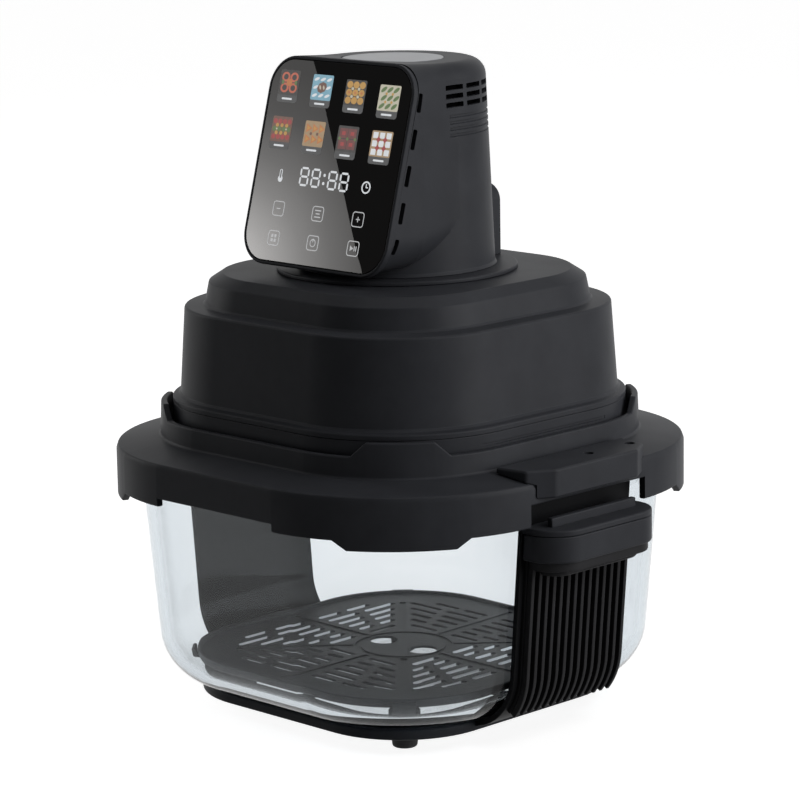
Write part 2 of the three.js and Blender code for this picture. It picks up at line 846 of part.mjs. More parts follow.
function handleInsert() {
  const back = panelReach(gripTop, fit) + gripWall + fit;
  const low = gripBottom - insertBand;
  const band = upright(handlePlan(insertInset, back), low, gripBottom - fit);
  const step = upright(handlePlan(stepInset, back), low - insertStep, low + overrun);
  const plug = upright(handlePlan(gripWall + fit, back), gripBottom - insertBand, gripBottom + insertPlug);
  const bottom = low - insertStep;
  const recess = upright(handlePlan(stepInset + insertWall, back + insertWall), bottom - overrun,
    bottom + insertRecess);
  return cut(
    join(band, step, plug),
    recess,
    cylinder(screwRadius + fit, bottom, gripBottom + insertPlug + overrun, handleScrewPlace),
  );
}

function handleScrew() {
  const low = gripBottom - insertBand - insertStep + insertRecess - fit - screwHeadHeight;
  return screw(handleScrewHead, screwHeadHeight, screwRadius, gripTop - gripRoof + overrun - low)
    .translate(handleScrewPlace, 0, low);
}

// A screw that points up, its head at zero.
function screw(headRadius, headHeight, radius, length) {
  return turned([[0, 0], [headRadius, 0], [headRadius, headHeight], [radius, headHeight], [radius, length],
    [0, length]], screwSteps);
}

function handleCover() {
  const low = armHeight + fit;
  const high = low + coverThickness;
  const back = panelReach(armHeight) - panelDepth - armThickness;
  const plate = join(
    upright(handlePlan(0, back), low, high - coverEdge),
    upright(handlePlan(coverEdge, back), low, high),
  );
  const ridge = across(polygon([
    [ridgeReach - ridgeThickness, high - coverEdge],
    [ridgeReach, high - coverEdge],
    [ridgeReach - ridgeLean, high + ridgeHeight],
    [ridgeReach - ridgeThickness, high + ridgeHeight],
  ]), -ridgeHalfLength, ridgeHalfLength);
  return join(plate, ridge);
}

// Crisper plate

// One slot with round ends, across the axis at a distance from the centre.
function slotCutter(distance, from, to) {
  const radius = slotWidth / 2;
  const shape = new THREE.Shape();
  shape.moveTo(distance + radius, from + radius);
  shape.lineTo(distance + radius, to - radius);
  shape.absarc(distance, to - radius, radius, 0, 2 * quarter);
  shape.lineTo(distance - radius, from + radius);
  shape.absarc(distance, from + radius, radius, 2 * quarter, 4 * quarter);
  return upright(shape, -overrun, plateThickness + overrun, slotEndSteps);
}

function slotSector() {
  const slots = [];
  for (let row = 0; row < slotRows; row++) {
    const distance = firstRow + row * rowPitch;
    const from = slotMargin;
    const to = Math.min(distance - diagonalMargin, plateFlat + longestSlot);
    const length = to - from;
    if (length <= longestSlot) {
      slots.push(slotCutter(distance, from, to));
    } else {
      const middle = (from + to) / 2;
      slots.push(slotCutter(distance, from, middle - slotBridge / 2));
      slots.push(slotCutter(distance, middle + slotBridge / 2, to));
    }
  }
  return slots;
}

function crisperPlate() {
  const rimTopHeight = plateThickness + plateRimHeight;
  const plate = skin(squares([
    [plateHalfWidth - plateEdge, plateFlat, 0],
    [plateHalfWidth, plateFlat, plateEdge],
    [plateHalfWidth, plateFlat, rimTopHeight],
    [plateHalfWidth - plateRimWidth, plateFlat, rimTopHeight],
    [plateHalfWidth - plateRimWidth - plateEdge, plateFlat, plateThickness],
  ]));
  const slots = [];
  for (let side = 0; side < 4; side++) {
    for (const slot of slotSector()) {
      slots.push(slot.clone().rotateZ(side * quarter));
      slots.push(slot.clone().scale(1, -1, 1).rotateZ(side * quarter));
    }
  }
  const grooveFloor = plateThickness - grooveDepth;
  for (let spoke = 0; spoke < 8; spoke++) {
    const groove = block(grooveEnd - grooveStart, grooveWidth, grooveFloor, plateThickness + overrun,
      (grooveStart + grooveEnd) / 2);
    slots.push(groove.rotateZ((spoke * quarter) / 2));
  }
  slots.push(tube(ringGrooveRadius - grooveWidth / 2, ringGrooveRadius + grooveWidth / 2, grooveFloor,
    plateThickness + overrun, innerRoundSteps));
  for (const side of [-1, 1]) {
    const place = side * fingerHoleOffset;
    slots.push(cylinder(fingerHoleRadius, -overrun, plateThickness + overrun, place, 0, shaftSteps));
  }
  return cut(plate, ...slots);
}

// A rubber clip under one corner of the plate, built along +X and turned into its corner.
function plateBumper(corner) {
  const low = fit - plateLift;
  const foot = block(bumperDepth, bumperLength, low, -fit, bumperReach);
  const lipInner = cornerReach(plateHalfWidth, plateFlat) + fit;
  const under = -fit - bumperStrap;
  const lipTop = plateThickness + bumperLipHeight;
  const lip = block(bumperLip, bumperLength, under, lipTop, lipInner + bumperLip / 2);
  const strap = block(lipInner - bumperReach + bumperLip, bumperLength, under, -fit,
    (lipInner + bumperReach + bumperLip) / 2);
  return join(foot, strap, lip).rotateZ(quarter * (corner + 1 / 2));
}

// Adapter ring

function adapterRing() {
  const rows = [
    [ringHalfWidth, -tabDrop],
    [ringHalfWidth - ringDraft, skirtHeight - ringEdge],
    [ringHalfWidth - ringDraft - ringEdge, skirtHeight],
    [wallHalfWidth + wallFoot, skirtHeight + topRise],
    [wallHalfWidth, skirtHeight + topRise + wallFoot],
    [wallHalfWidth - wallDraft, postHeight],
    [wallHalfWidth - wallDraft - wallThickness, postHeight],
    [wallHalfWidth - wallDraft - wallThickness, ledgeHeight],
    [ledgeHalfWidth, ledgeHeight],
    [ledgeHalfWidth, ledgeHeight - ledgeThickness],
    [lipHalfWidth - lipThickness, ceilingHeight + lipThickness, bowlFlat],
    [lipHalfWidth - lipThickness, lipHeight, bowlFlat],
    [lipHalfWidth, lipHeight, bowlFlat],
    [lipHalfWidth, ceilingHeight, bowlFlat],
    [ringHalfWidth - skirtThickness, ceilingHeight - ceilingFall],
    [ringHalfWidth - skirtThickness, -tabDrop],
  ];
  const body = skin(rows.map(([halfWidth, z, flat = ringFlat]) => outline(halfWidth, flat, z)), true);
  const span = ringCorner(ringHalfWidth);
  const overWall = cut(
    block(span, span, wallHeight, postHeight + overrun),
    ...diagonalBars(postHalfWidth, postShoulder, postHeight, wallHeight - overrun, span),
  );
  const underSkirt = cut(
    block(span, span, -tabDrop - overrun, 0),
    ...diagonalBars(tabHalfWidth, tabShoulder, -tabDrop, overrun, span),
  );
  const cuts = [overWall, underSkirt];
  const skirtInner = ringHalfWidth - skirtThickness - overrun;
  const depth = skirtThickness + 2 * overrun;
  for (const side of [-1, 1]) {
    const middle = side * (skirtInner + depth / 2);
    cuts.push(block(2 * cutHalfWidth, depth, -overrun, frontCutHeight, 0, middle));
    cuts.push(block(depth, 2 * cutHalfWidth, -overrun, handleCutHeight, middle, 0));
    for (const place of blockHolePlaces) {
      const low = ceilingHeight - overrun;
      cuts.push(cylinder(blockScrewRadius + fit, low, postHeight, side * blockHoleReach, side * place));
    }
  }
  return cut(body, ...cuts);
}

function ringGasket() {
  const inner = lipHalfWidth + gasketInset;
  const glassOuter = bowlSide(0, 0, bowlHeight);
  const outer = glassOuter[glassOuter.length - 1][0] - gasketInset;
  const high = ceilingHeight - fit - ceilingFall;
  const low = ceilingHeight - fit - gasketHeight;
  return skin([
    outline(outer, bowlFlat, low),
    outline(outer, bowlFlat, high),
    outline(inner, bowlFlat, high),
    outline(inner, bowlFlat, low),
  ], true);
}

// The block is built at the +X side.
function liftBlock() {
  const skirtFace = ringHalfWidth + fit;
  const rimFace = ringHalfWidth - ringDraft - ringEdge + fit;
  const slope = topRise / (ringHalfWidth - ringDraft - ringEdge - wallHalfWidth - wallFoot);
  const over = skirtHeight + 2 * fit;
  const profile = across(polygon([
    [blockBackReach, over + slope * (rimFace - blockBackReach)],
    [rimFace, over],
    [skirtFace, skirtHeight - ringEdge],
    [skirtFace, blockBottom],
    [blockReach, blockBottom],
    [blockReach, blockTop - blockEdge],
    [blockReach - blockEdge, blockTop],
    [blockBackReach, blockTop],
  ]), -blockBackHalf, blockBackHalf);
  const plan = upright(polygon(mirrored([
    [blockReach, blockFaceHalf],
    [blockShoulderReach, blockShoulderHalf],
    [blockBackReach - overrun, blockBackHalf],
  ])), 0, blockTop + overrun);
  const holes = blockHolePlaces.flatMap((place) => [
    cylinder(blockHoleRadius, blockTop - blockHoleDepth, blockTop + overrun, blockHoleReach, place),
    cylinder(blockScrewRadius + fit, 0, blockTop, blockHoleReach, place),
  ]);
  return cut(common(profile, plan), ...holes);
}

function blockScrew(place) {
  return screw(blockScrewHeadRadius, blockScrewHeadHeight, blockScrewRadius, blockScrewLength)
    .rotateX(2 * quarter)
    .translate(blockHoleReach, place, blockTop - blockHoleDepth + blockScrewHeadHeight + fit);
}

// Pod

function domeBase() {
  const inner = domeBaseHalf - domeBaseWall;
  const seat = domeBaseHalf - domeSeatWidth;
  const ring = skin([
    [domeBaseHalf - domeBaseEdge, 0],
    [domeBaseHalf, domeBaseEdge],
    [domeBaseHalf, domeBaseHeight],
    [inner, domeBaseHeight],
    [inner, domeLedgeHigh],
    [domeLedgeHalf, domeLedgeHigh],
    [domeLedgeHalf, domeLedgeLow],
    [seat, domeLedgeLow],
    [seat, 0],
  ].map(([halfWidth, z]) => outline(halfWidth, domeFlat, z)), true);
  const cuts = [];
  for (const side of [-1, 1]) {
    const middle = side * (domeBaseHalf - recessDepth / 2 + overrun / 2);
    const recessHigh = recessLow + recessHeight;
    cuts.push(block(recessDepth + overrun, 2 * recessHalfLength, recessLow, recessHigh, middle));
  }
  for (let corner = 0; corner < 4; corner++) {
    const [x, y] = cornerPlace(bossReach, corner);
    cuts.push(cylinder(screwRadius + fit, 0, domeLedgeHigh + overrun, x, y));
    cuts.push(cylinder(screwHeadRadius + fit, -overrun, domeLedgeLow, x, y));
  }
  cuts.push(cylinder(plungerRadius + plungerClearance, -overrun, domeLedgeHigh + overrun, plungerReach, 0));
  return cut(ring, ...cuts);
}

function domeShell() {
  const foot = domeBaseHeight + fit;
  const outer = skin(squares([
    [flangeHalf, domeFlat, foot],
    [flangeHalf, domeFlat, foot + flangeHeight - flangeEdge],
    [flangeHalf - flangeEdge, domeFlat, foot + flangeHeight],
    [mainFootHalf + flangeEdge, domeFlat, foot + flangeHeight + flangeEdge],
    [mainFootHalf, domeFlat, mainFoot],
    [mainTopHalf, domeFlat, mainTop - tierEdge],
    [mainTopHalf - tierEdge, domeFlat - tierEdge, mainTop],
    [upperFootHalf + tierEdge, upperFlat, upperFoot - tierEdge],
    [upperFootHalf, upperFlat, upperFoot],
    [upperTopHalf, upperFlat, upperTop - tierEdge],
    [upperTopHalf - tierEdge, upperFlat, upperTop],
    [crownHalf, crownFlat, domeHeight - tierEdge],
    [crownHalf - tierEdge, crownFlat, domeHeight],
  ]));
  const inner = skin(squares([
    [mainFootHalf - domeWall, domeFlat, foot - overrun],
    [mainTopHalf - domeWall, domeFlat, mainTop - domeWall],
    [upperFootHalf - domeWall, upperFlat, upperFoot - domeWall],
    [upperTopHalf - domeWall, upperFlat, upperTop - domeWall + tierEdge],
    [crownHalf - domeWall - tierEdge, crownFlat, domeHeight - domeWall],
  ], plainSteps));
  const bosses = cornerNames.map((name, corner) => {
    const [x, y] = cornerPlace(bossReach, corner);
    return cylinder(bossOuterRadius, domeLedgeHigh + fit, mainFoot, x, y);
  });
  const bores = cornerNames.map((name, corner) => {
    const [x, y] = cornerPlace(bossReach, corner);
    return cylinder(bossBoreRadius, domeLedgeHigh, podScrewLength + domeLedgeHigh, x, y);
  });
  const opening = cylinder(domeBoreRadius, domeHeight - 2 * domeWall, domeHeight + overrun, 0, 0, roundSteps);
  return cut(join(cut(outer, inner), ...bosses), opening, ...bores);
}

function podScrew(corner) {
  const [x, y] = cornerPlace(bossReach, corner);
  return screw(screwHeadRadius, podScrewHead, bossBoreRadius - fit, podScrewLength)
    .translate(x, y, domeLedgeLow - fit - podScrewHead);
}

function neckDisc() {
  return turned([
    [discBoreRadius, 0],
    [discRadius, 0],
    [discRadius, discHeight - discEdge],
    [discRadius - discEdge, discHeight],
    [discBoreRadius, discHeight],
    [discBoreRadius, 0],
  ]);
}

// A section of the hood at one y: an upright rounded shape that is narrower or wider at its top.
function hoodSection(y, low, high, lowHalf, topHalf, lowCorner, topCorner) {
  const corners = [
    [lowHalf - lowCorner, low + lowCorner, lowCorner, 3],
    [topHalf - topCorner, high - topCorner, topCorner, 0],
    [topCorner - topHalf, high - topCorner, topCorner, 1],
    [lowCorner - lowHalf, low + lowCorner, lowCorner, 2],
  ];
  const points = [];
  for (const [x, z, radius, turns] of corners) {
    for (let step = 0; step <= hoodCornerSteps; step++) {
      const turn = quarter * (turns + step / hoodCornerSteps);
      points.push(new THREE.Vector3(x + radius * Math.cos(turn), y, z + radius * Math.sin(turn)));
    }
  }
  return points;
}

// One facet of the neck for each column of vents, and some inside the hood.
const neckTurns = [];
for (let column = 0; column <= ventColumns; column++) {
  neckTurns.push(ventFirst + (column - 1 / 2) * ventPitch);
}
for (let facet = 1; facet < hiddenFacets; facet++) {
  neckTurns.push(neckTurns[ventColumns] + (facet * (4 * quarter - ventColumns * ventPitch)) / hiddenFacets);
}
const neckRing = (radius, z) =>
  neckTurns.map((turn) => new THREE.Vector3(radius * Math.cos(turn), radius * Math.sin(turn), z));

// The head's outside, or with an inset its hollow. The display plane isn't cut yet.
function headForm(inset) {
  const top = headHeight - inset;
  const low = inset ? -overrun : 0;
  const neck = skin([
    neckRing(neckFootRadius - inset, low),
    neckRing(neckLowRadius - inset, neckFootHeight),
    neckRing(neckTopRadius - inset, neckShoulder),
    neckRing(shoulderMidRadius - inset, shoulderMidHeight - inset / 2),
    neckRing(crownRadius - inset, top),
  ]);
  const hood = skin([
    hoodSection(-hoodFrontReach, hoodLow + inset, hoodTop - inset, hoodFrontLowHalf - inset,
      hoodFrontTopHalf - inset, hoodLowCorner - inset, hoodTopCorner - inset),
    hoodSection(-hoodMidReach, hoodLow + inset, hoodTop - inset, hoodFrontLowHalf - inset,
      hoodFrontTopHalf - inset, hoodLowCorner - inset, hoodTopCorner - inset),
    hoodSection(hoodBackReach, hoodBackLow + inset, top, hoodBackLowHalf - inset, hoodBackTopHalf - inset,
      hoodBackLowCorner - inset, hoodBackTopCorner - inset),
  ]);
  const housingHalf = inletHousingHalf - inset;
  const housing = roundedRect(housingHalf, inletHousingHeight - inset, inletHousingCorner - inset);
  const reach = inletHousingReach - inset;
  const bump = cut(
    across(housing, neckTopRadius / 2, reach),
    block(4 * inletHousingHalf, 4 * reach, -2 * inletHousingHeight, low),
  );
  return join(neck, hood, bump);
}

// Turns a piece from the display's own frame into the head's frame.
function onDisplay(geometry) {
  return geometry.rotateX(quarter - displayLean).translate(0, -displayReach, displayMiddle);
}

function ventCutters() {
  const cutters = [];
  for (let column = 0; column < ventColumns; column++) {
    for (const row of ventRows) {
      const vent = block(4 * headWall, ventWidth, row - ventHeight / 2, row + ventHeight / 2, neckTopRadius);
      cutters.push(vent.rotateZ(ventFirst + column * ventPitch));
    }
  }
  return cutters;
}

// An arc-shaped groove round the back of the neck.
function neckGroove(place) {
  const radius = neckTopRadius + ((neckLowRadius - neckTopRadius) * (neckShoulder - place)) / neckShoulder;
  const [low, high] = [place - neckGrooveHeight / 2, place + neckGrooveHeight / 2];
  const half = radius + 2 * overrun;
  const end = radius * Math.sin(neckGrooveEnd);
  const [inner, outer] = [radius - neckGrooveDepth, radius + overrun];
  return cut(
    skin([neckRing(outer, low), neckRing(outer, high), neckRing(inner, high), neckRing(inner, low)], true),
    block(2 * half, half, low - overrun, high + overrun, 0, -half / 2 - end),
  );
}

// A curved wall behind the vents that hangs from the top of the head.
function ventBaffle() {
  const low = ventRows[ventRows.length - 1] - ventHeight / 2 - baffleDrop;
  const arc = (radius) => neckTurns.slice(0, ventColumns + 1).map((turn) =>
    [radius * Math.cos(turn), radius * Math.sin(turn)]);
  const plan = [...arc(baffleRadius), ...arc(baffleRadius - baffleWall).reverse()];
  return upright(polygon(plan), low, headHeight - baffleRoot);
}

function headShell() {
  const front = onDisplay(block(4 * displayHalfWidth, 4 * displayHalfHeight, -bezelDepth - fit,
    2 * hoodFrontReach));
  const sideSlots = [];
  for (let slot = 0; slot < sideSlotCount; slot++) {
    const y = sideSlotShift + (slot - (sideSlotCount - 1) / 2) * sideSlotPitch;
    const low = -sideSlotBehind - sideSlotWidth / 2;
    const one = block(4 * displayHalfWidth, sideSlotLength, low, low + sideSlotWidth, 0, y);
    sideSlots.push(onDisplay(one));
  }
  const recess = cylinder(insertRadius + fit, headHeight - insertThickness + insertStandout - fit,
    hoodTop + overrun, 0, -insertShift, roundSteps);
  const inlet = across(roundedRect(inletWidth / 2 + fit, inletHeight / 2 + fit, inletCorner),
    inletHousingReach - inletDepth, inletHousingReach + overrun).translate(0, 0, inletCentre);
  const shell = cut(headForm(0), front, headForm(headWall));
  return cut(
    join(shell, ventBaffle()),
    ...sideSlots,
    ...ventCutters(),
    ...groovePlaces.map(neckGroove),
    recess,
    inlet,
  );
}

function topInsert() {
  const low = headHeight - insertThickness + insertStandout;
  return cylinder(insertRadius, low, headHeight + insertStandout, 0, -insertShift, roundSteps);
}

function bezel() {
  const [w, h, r] = [displayHalfWidth, displayHalfHeight, displayCorner];
  const lip = bezelRim + bezelLip;
  const body = join(
    upright(roundedRect(w, h, r), -bezelDepth, -bezelEdge),
    upright(roundedRect(w - bezelEdge, h - bezelEdge, r - bezelEdge), -bezelDepth, 0),
  );
  const frame = cut(
    body,
    upright(roundedRect(w - bezelRim, h - bezelRim, r - bezelRim), -displayGlassThickness - fit, overrun),
    upright(roundedRect(w - lip, h - lip, r - lip), -bezelDepth - overrun, overrun),
  );
  const [x, y] = [w - lip - standoffRadius / 2, h / 2];
  const posts = [[x, y], [-x, y], [-x, -y], [x, -y]].map(([px, py]) =>
    cylinder(standoffRadius, -bezelDepth - boardStandoff, -bezelDepth + boardThickness, px, py, screwSteps));
  return join(frame, ...posts);
}

function displayGlass() {
  const inset = bezelRim + fit;
  return upright(roundedRect(displayHalfWidth - inset, displayHalfHeight - inset, displayCorner - inset),
    -displayGlassThickness, 0);
}

function displayBoard() {
  const high = -bezelDepth - boardStandoff - fit;
  const [w, h] = [displayHalfWidth - boardSideInset, displayHalfHeight - boardEndInset];
  return upright(roundedRect(w, h, boardCorner), high - boardThickness, high);
}

function reflectorPan() {
  const low = panFlangeHeight;
  const high = low + panThickness;
  const pan = skin(squares([
    [panTopHalf - panRound - panThickness, panFlat, panHeight - panThickness],
    [panTopHalf - panThickness, panFlat, panHeight - panRound],
    [panHalf - panThickness, panFlat, low],
    [panFlangeHalf, panFlat, low],
    [panFlangeHalf, panFlat, high],
    [panHalf, panFlat, high],
    [panTopHalf, panFlat, panHeight - panRound],
    [panTopHalf - panRound, panFlat, panHeight],
  ], plainSteps));
  const notches = cornerNames.map((name, corner) => {
    const [x, y] = cornerPlace(bossReach, corner);
    return cylinder(bossOuterRadius + bossClearance, 0, mainFoot, x, y);
  });
  return cut(pan, ...passages(panHeight - panRound, panHeight + overrun), ...notches);
}

// Holes for what passes through the pan and the pad: the shaft, the heater's legs and the probe.
function passages(low, high) {
  const legReach = coilOuter;
  return [
    cylinder(shaftRadius + overrun, low, high),
    cylinder(coilRadius + 2 * fit, low, high, coilLegSpacing, legReach),
    cylinder(coilRadius + 2 * fit, low, high, -coilLegSpacing, legReach),
    cylinder(probeRadius + fit, low, high, -probeReach, 0),
  ];
}

function insulationPad() {
  const low = panHeight + fit;
  const pad = skin(squares([[padHalf, panFlat, low], [padHalf, panFlat, low + padThickness]], plainSteps));
  const wide = cylinder(shaftRadius + overrun + padClearance, low - overrun, low + padThickness + overrun);
  return cut(pad, wide, ...passages(low - overrun, low + padThickness + overrun));
}

function fanGuard() {
  const low = domeLedgeHigh + fit;
  const high = low + guardThickness;
  const plate = skin(squares([[guardHalf, panFlat, low], [guardHalf, panFlat, high]], plainSteps));
  const gaps = [];
  for (let ring = 0; ring < guardRings; ring++) {
    const inner = guardHub + ring * guardPitch;
    gaps.push(tube(inner, inner + guardPitch - guardBar, low - overrun, high + overrun, shaftSteps));
  }
  const spokes = [];
  for (let spoke = 0; spoke < guardSpokes; spoke++) {
    const turn = (4 * quarter * (spoke + 1 / 2)) / guardSpokes;
    spokes.push(block(guardHalf - guardBar, guardBar, low, high, guardHalf / 2).rotateZ(turn));
  }
  const hub = cylinder(guardHub + guardBar / 2, low, high, 0, 0, shaftSteps);
  const notches = cornerNames.map((name, corner) => {
    const [x, y] = cornerPlace(bossReach, corner);
    return cylinder(bossOuterRadius + bossClearance, low - overrun, high + overrun, x, y);
  });
  return cut(join(cut(plate, ...gaps), hub, ...spokes), ...notches);
}

// The heater: down one leg, two turns inwards, back out below the turns and up the other leg.
function heaterCoil() {
  const start = Math.atan2(coilOuter, coilLegSpacing);
  const end = Math.atan2(coilOuter, -coilLegSpacing);
  const bend = 4 * coilRadius;
  const legLow = coilHeight + bend;
  const legPlaces = [coilLegTop, (2 * coilLegTop + legLow) / 3, (coilLegTop + 2 * legLow) / 3, legLow];
  const points = legPlaces.map((z) => new THREE.Vector3(coilLegSpacing, coilOuter, z));
  const perTurn = 20;
  const sweep = start + coilTurns * 4 * quarter - end;
  const count = Math.round((perTurn * sweep) / (4 * quarter));
  for (let step = 1; step <= count; step++) {
    const turn = start - (sweep * step) / count;
    const radius = coilOuter + ((coilInner - coilOuter) * step) / count;
    points.push(new THREE.Vector3(radius * Math.cos(turn), radius * Math.sin(turn), coilHeight));
  }
  const back = coilHeight - coilDrop;
  const inner = coilInner + bend / 2;
  for (const share of [0, 1 / 3, 2 / 3]) {
    const radius = inner + (coilOuter - inner) * share;
    points.push(new THREE.Vector3(-coilLegSpacing, radius, back));
  }
  points.push(new THREE.Vector3(-coilLegSpacing, coilOuter, coilHeight));
  points.push(...legPlaces.reverse().map((z) => new THREE.Vector3(-coilLegSpacing, coilOuter, z)));
  const path = new THREE.CatmullRomCurve3(points, false, "centripetal");
  const ring = [];
  for (let side = 0; side < coilSides; side++) {
    const turn = (4 * quarter * side) / coilSides;
    ring.push([coilRadius * Math.cos(turn), coilRadius * Math.sin(turn)]);
  }
  return tidy(new THREE.ExtrudeGeometry(polygon(ring), {
    steps: coilPathSteps,
    bevelEnabled: false,
    extrudePath: path,
  }));
}

function heaterTerminals() {
  const low = panHeight + 2 * fit + padThickness;
  return cut(
    block(terminalLength, terminalDepth, low, low + terminalHeight, 0, coilOuter),
    ...passages(low - overrun, low + terminalHeight + overrun),
  );
}

function temperatureProbe() {
  const collar = panHeight + 2 * fit + padThickness;
  return turned([
    [0, probeBottom],
    [probeRadius, probeBottom],
    [probeRadius, collar],
    [probeCollarRadius, collar],
    [probeCollarRadius, collar + probeCollarHeight],
    [probeRadius, collar + probeCollarHeight],
    [probeRadius, probeTop],
    [0, probeTop],
  ], holeSteps).translate(-probeReach, 0, 0);
}

function thermalFuse() {
  const low = panHeight + 2 * fit + padThickness;
  const section = roundedRect(fuseWidth / 2, fuseHeight / 2, fuseHeight / 3);
  const body = across(section, -fuseLength / 2, fuseLength / 2);
  return body.translate(fuseReach, 0, low + fuseHeight / 2);
}

function safetySwitch() {
  const body = block(switchWidth, switchLength, switchLow, switchLow + switchHeight, switchReach);
  const boreTop = switchLow + switchBoreDepth;
  const low = switchLow - overrun;
  const pocket = 2 * (plungerCollarRadius + plungerClearance);
  return cut(
    body,
    cylinder(plungerRadius + plungerClearance, low, boreTop + plungerTravel / 2, plungerReach),
    block(pocket, pocket, low, plungerCollarLow + plungerCollarHeight + plungerClearance, plungerReach),
  );
}

function plungerPin() {
  const collar = plungerCollarLow;
  return turned([
    [0, 0],
    [plungerRadius, 0],
    [plungerRadius, collar],
    [plungerCollarRadius, collar],
    [plungerCollarRadius, collar + plungerCollarHeight],
    [plungerRadius, collar + plungerCollarHeight],
    [plungerRadius, plungerLength],
    [0, plungerLength],
  ], holeSteps).translate(plungerReach, 0, 0);
}

// Motor and rotor

function motorBracket() {
  const low = domeHeight + fit;
  const plate = cylinder(bracketRadius, low, low + bracketThickness, 0, 0, roundSteps);
  const posts = [];
  const [under, over] = [low - overrun, low + bracketThickness + overrun];
  const holes = [cylinder(bushRadius + fit, under, over, 0, 0, shaftSteps)];
  for (let index = 0; index < bracketHoles; index++) {
    const turn = ((index + 1 / 2) * 4 * quarter) / bracketHoles;
    const [px, py] = [postReach * Math.cos(turn), postReach * Math.sin(turn)];
    posts.push(cylinder(postRadius, low, low + boardHeight, px, py));
    const next = (index * 4 * quarter) / bracketHoles;
    const [x, y] = [bracketHoleReach * Math.cos(next), bracketHoleReach * Math.sin(next)];
    holes.push(cylinder(bracketHoleRadius / 2, under, over, x, y));
  }
  return cut(join(plate, ...posts), ...holes);
}

function motorBush() {
  const seat = domeHeight + fit;
  const bore = shaftRadius + fit;
  return turned([
    [bore, seat - bushDepth],
    [bushRadius, seat - bushDepth],
    [bushRadius, seat + bracketThickness + fit],
    [bushRadius, seat + bracketThickness + fit + bushFlange],
    [bore, seat + bracketThickness + fit + bushFlange],
    [bore, seat - bushDepth],
  ], shaftSteps);
}

function motorBody() {
  const low = domeHeight + 2 * fit + bracketThickness;
  const bore = shaftRadius + fit;
  const socket = bushFlangeRadius + fit;
  return turned([
    [socket, low],
    [motorRadius - motorCollar, low],
    [motorRadius, low + motorCollar],
    [motorRadius, low + motorHeight],
    [motorCapRadius, low + motorHeight],
    [motorCapRadius - motorCollar, low + motorHeight + motorCapHeight],
    [bore, low + motorHeight + motorCapHeight],
    [bore, low + bushFlange + 2 * fit],
    [socket, low + bushFlange + 2 * fit],
    [socket, low],
  ], shaftSteps);
}

function powerBoard() {
  const low = domeHeight + 2 * fit + boardHeight;
  const high = low + boardThickness;
  const parts = [cylinder(powerBoardRadius, low, high, 0, 0, roundSteps)];
  parts.push(cylinder(capacitorRadius, low, high + capacitorHeight, partReach, partReach / 2, shaftSteps));
  const size = transformerSize;
  parts.push(block(size, size, low, high + transformerHeight, -partReach, partReach / 2));
  parts.push(block(relayWidth, relayLength, low, high + relayHeight, 0, -partReach));
  return join(...parts);
}

const shaftGeometry = () =>
  cylinder(shaftRadius, shaftBottom, shaftBottom + shaftLength, 0, 0, shaftSteps);

// A fan: a hub, a back plate and upright blades that lean back from the radius.
function fan(radius, low, height, blades, inner, plateAbove) {
  const high = low + height;
  const plate = plateAbove ? [high - fanPlate, high] : [low, low + fanPlate];
  const parts = [
    cylinder(fanHubRadius, low, high, 0, 0, shaftSteps),
    cylinder(radius, plate[0], plate[1], 0, 0, roundSteps),
  ];
  const length = radius - inner;
  const sweep = cylinder(radius, low, high, 0, 0, roundSteps);
  for (let blade = 0; blade < blades; blade++) {
    const vane = block(length, bladeThickness, low, high).rotateZ(bladeSweep);
    const kept = common(vane.translate(inner + length / 2, 0, 0), sweep);
    parts.push(kept.rotateZ((4 * quarter * blade) / blades));
  }
  return cut(join(...parts), cylinder(shaftRadius + fit, low - overrun, high + overrun, 0, 0, shaftSteps));
}

function fanNut() {
  const high = fanBottom - fit;
  return cut(
    cylinder(nutRadius, high - nutHeight, high, 0, 0, screwSteps),
    cylinder(shaftRadius + fit, shaftBottom - fit, high + overrun, 0, 0, shaftSteps),
  );
}

function powerInlet() {
  const reach = inletHousingReach;
  const [w, h] = [inletWidth / 2, inletHeight / 2];
  const body = across(roundedRect(w, h, inletCorner), reach - inletDepth + fit, reach);
  const flange = across(roundedRect(w + inletFlange, h + inletFlange, inletCorner), reach + fit,
    reach + fit + inletFlangeThickness);
  const neck = across(roundedRect(w, h, inletCorner), reach - overrun, reach + fit + inletFlangeThickness);
  const cavity = across(roundedRect(inletCavityWidth / 2, inletCavityHeight / 2, inletCorner),
    reach - inletCavityDepth, reach + inletFlangeThickness + overrun);
  return cut(join(body, flange, neck), cavity).translate(0, 0, inletCentre);
}

function inletContacts() {
  const bottom = inletHousingReach - inletCavityDepth + fit;
  const plate = across(roundedRect(inletCavityWidth / 2 - fit, inletCavityHeight / 2 - fit, inletCorner),
    bottom, bottom + contactPlate);
  const blades = [-1, 0, 1].map((side) => {
    const blade = block(contactThickness, contactLength, -contactWidth / 2, contactWidth / 2, 0,
      bottom + contactLength / 2);
    return blade.translate(side * contactSpacing, 0, side === 0 ? contactThickness : -contactThickness / 2);
  });
  return join(plate, ...blades).translate(0, 0, inletCentre);
}

// Assembly

const sides = [["right", 0], ["left", 2 * quarter]];

const cradle = new THREE.Group();
cradle.add(mesh("cradle_frame", cradleFrame(), blackPlastic));
cornerNames.forEach((name, corner) => {
  const made = mesh("foot_" + name, foot(), rubber);
  made.position.set(...cornerPlace(footReach, corner), 0);
  cradle.add(made);
});
for (const [name, turn] of sides) {
  const handle = new THREE.Group();
  handle.rotation.z = turn;
  handle.add(
    mesh("handle_grip_" + name, handleGrip(), blackPlastic),
    mesh("handle_cover_" + name, handleCover(), blackPlastic),
    mesh("handle_insert_" + name, handleInsert(), darkPlastic),
    mesh("handle_screw_" + name, handleScrew(), steel),
  );
  cradle.add(handle);
}

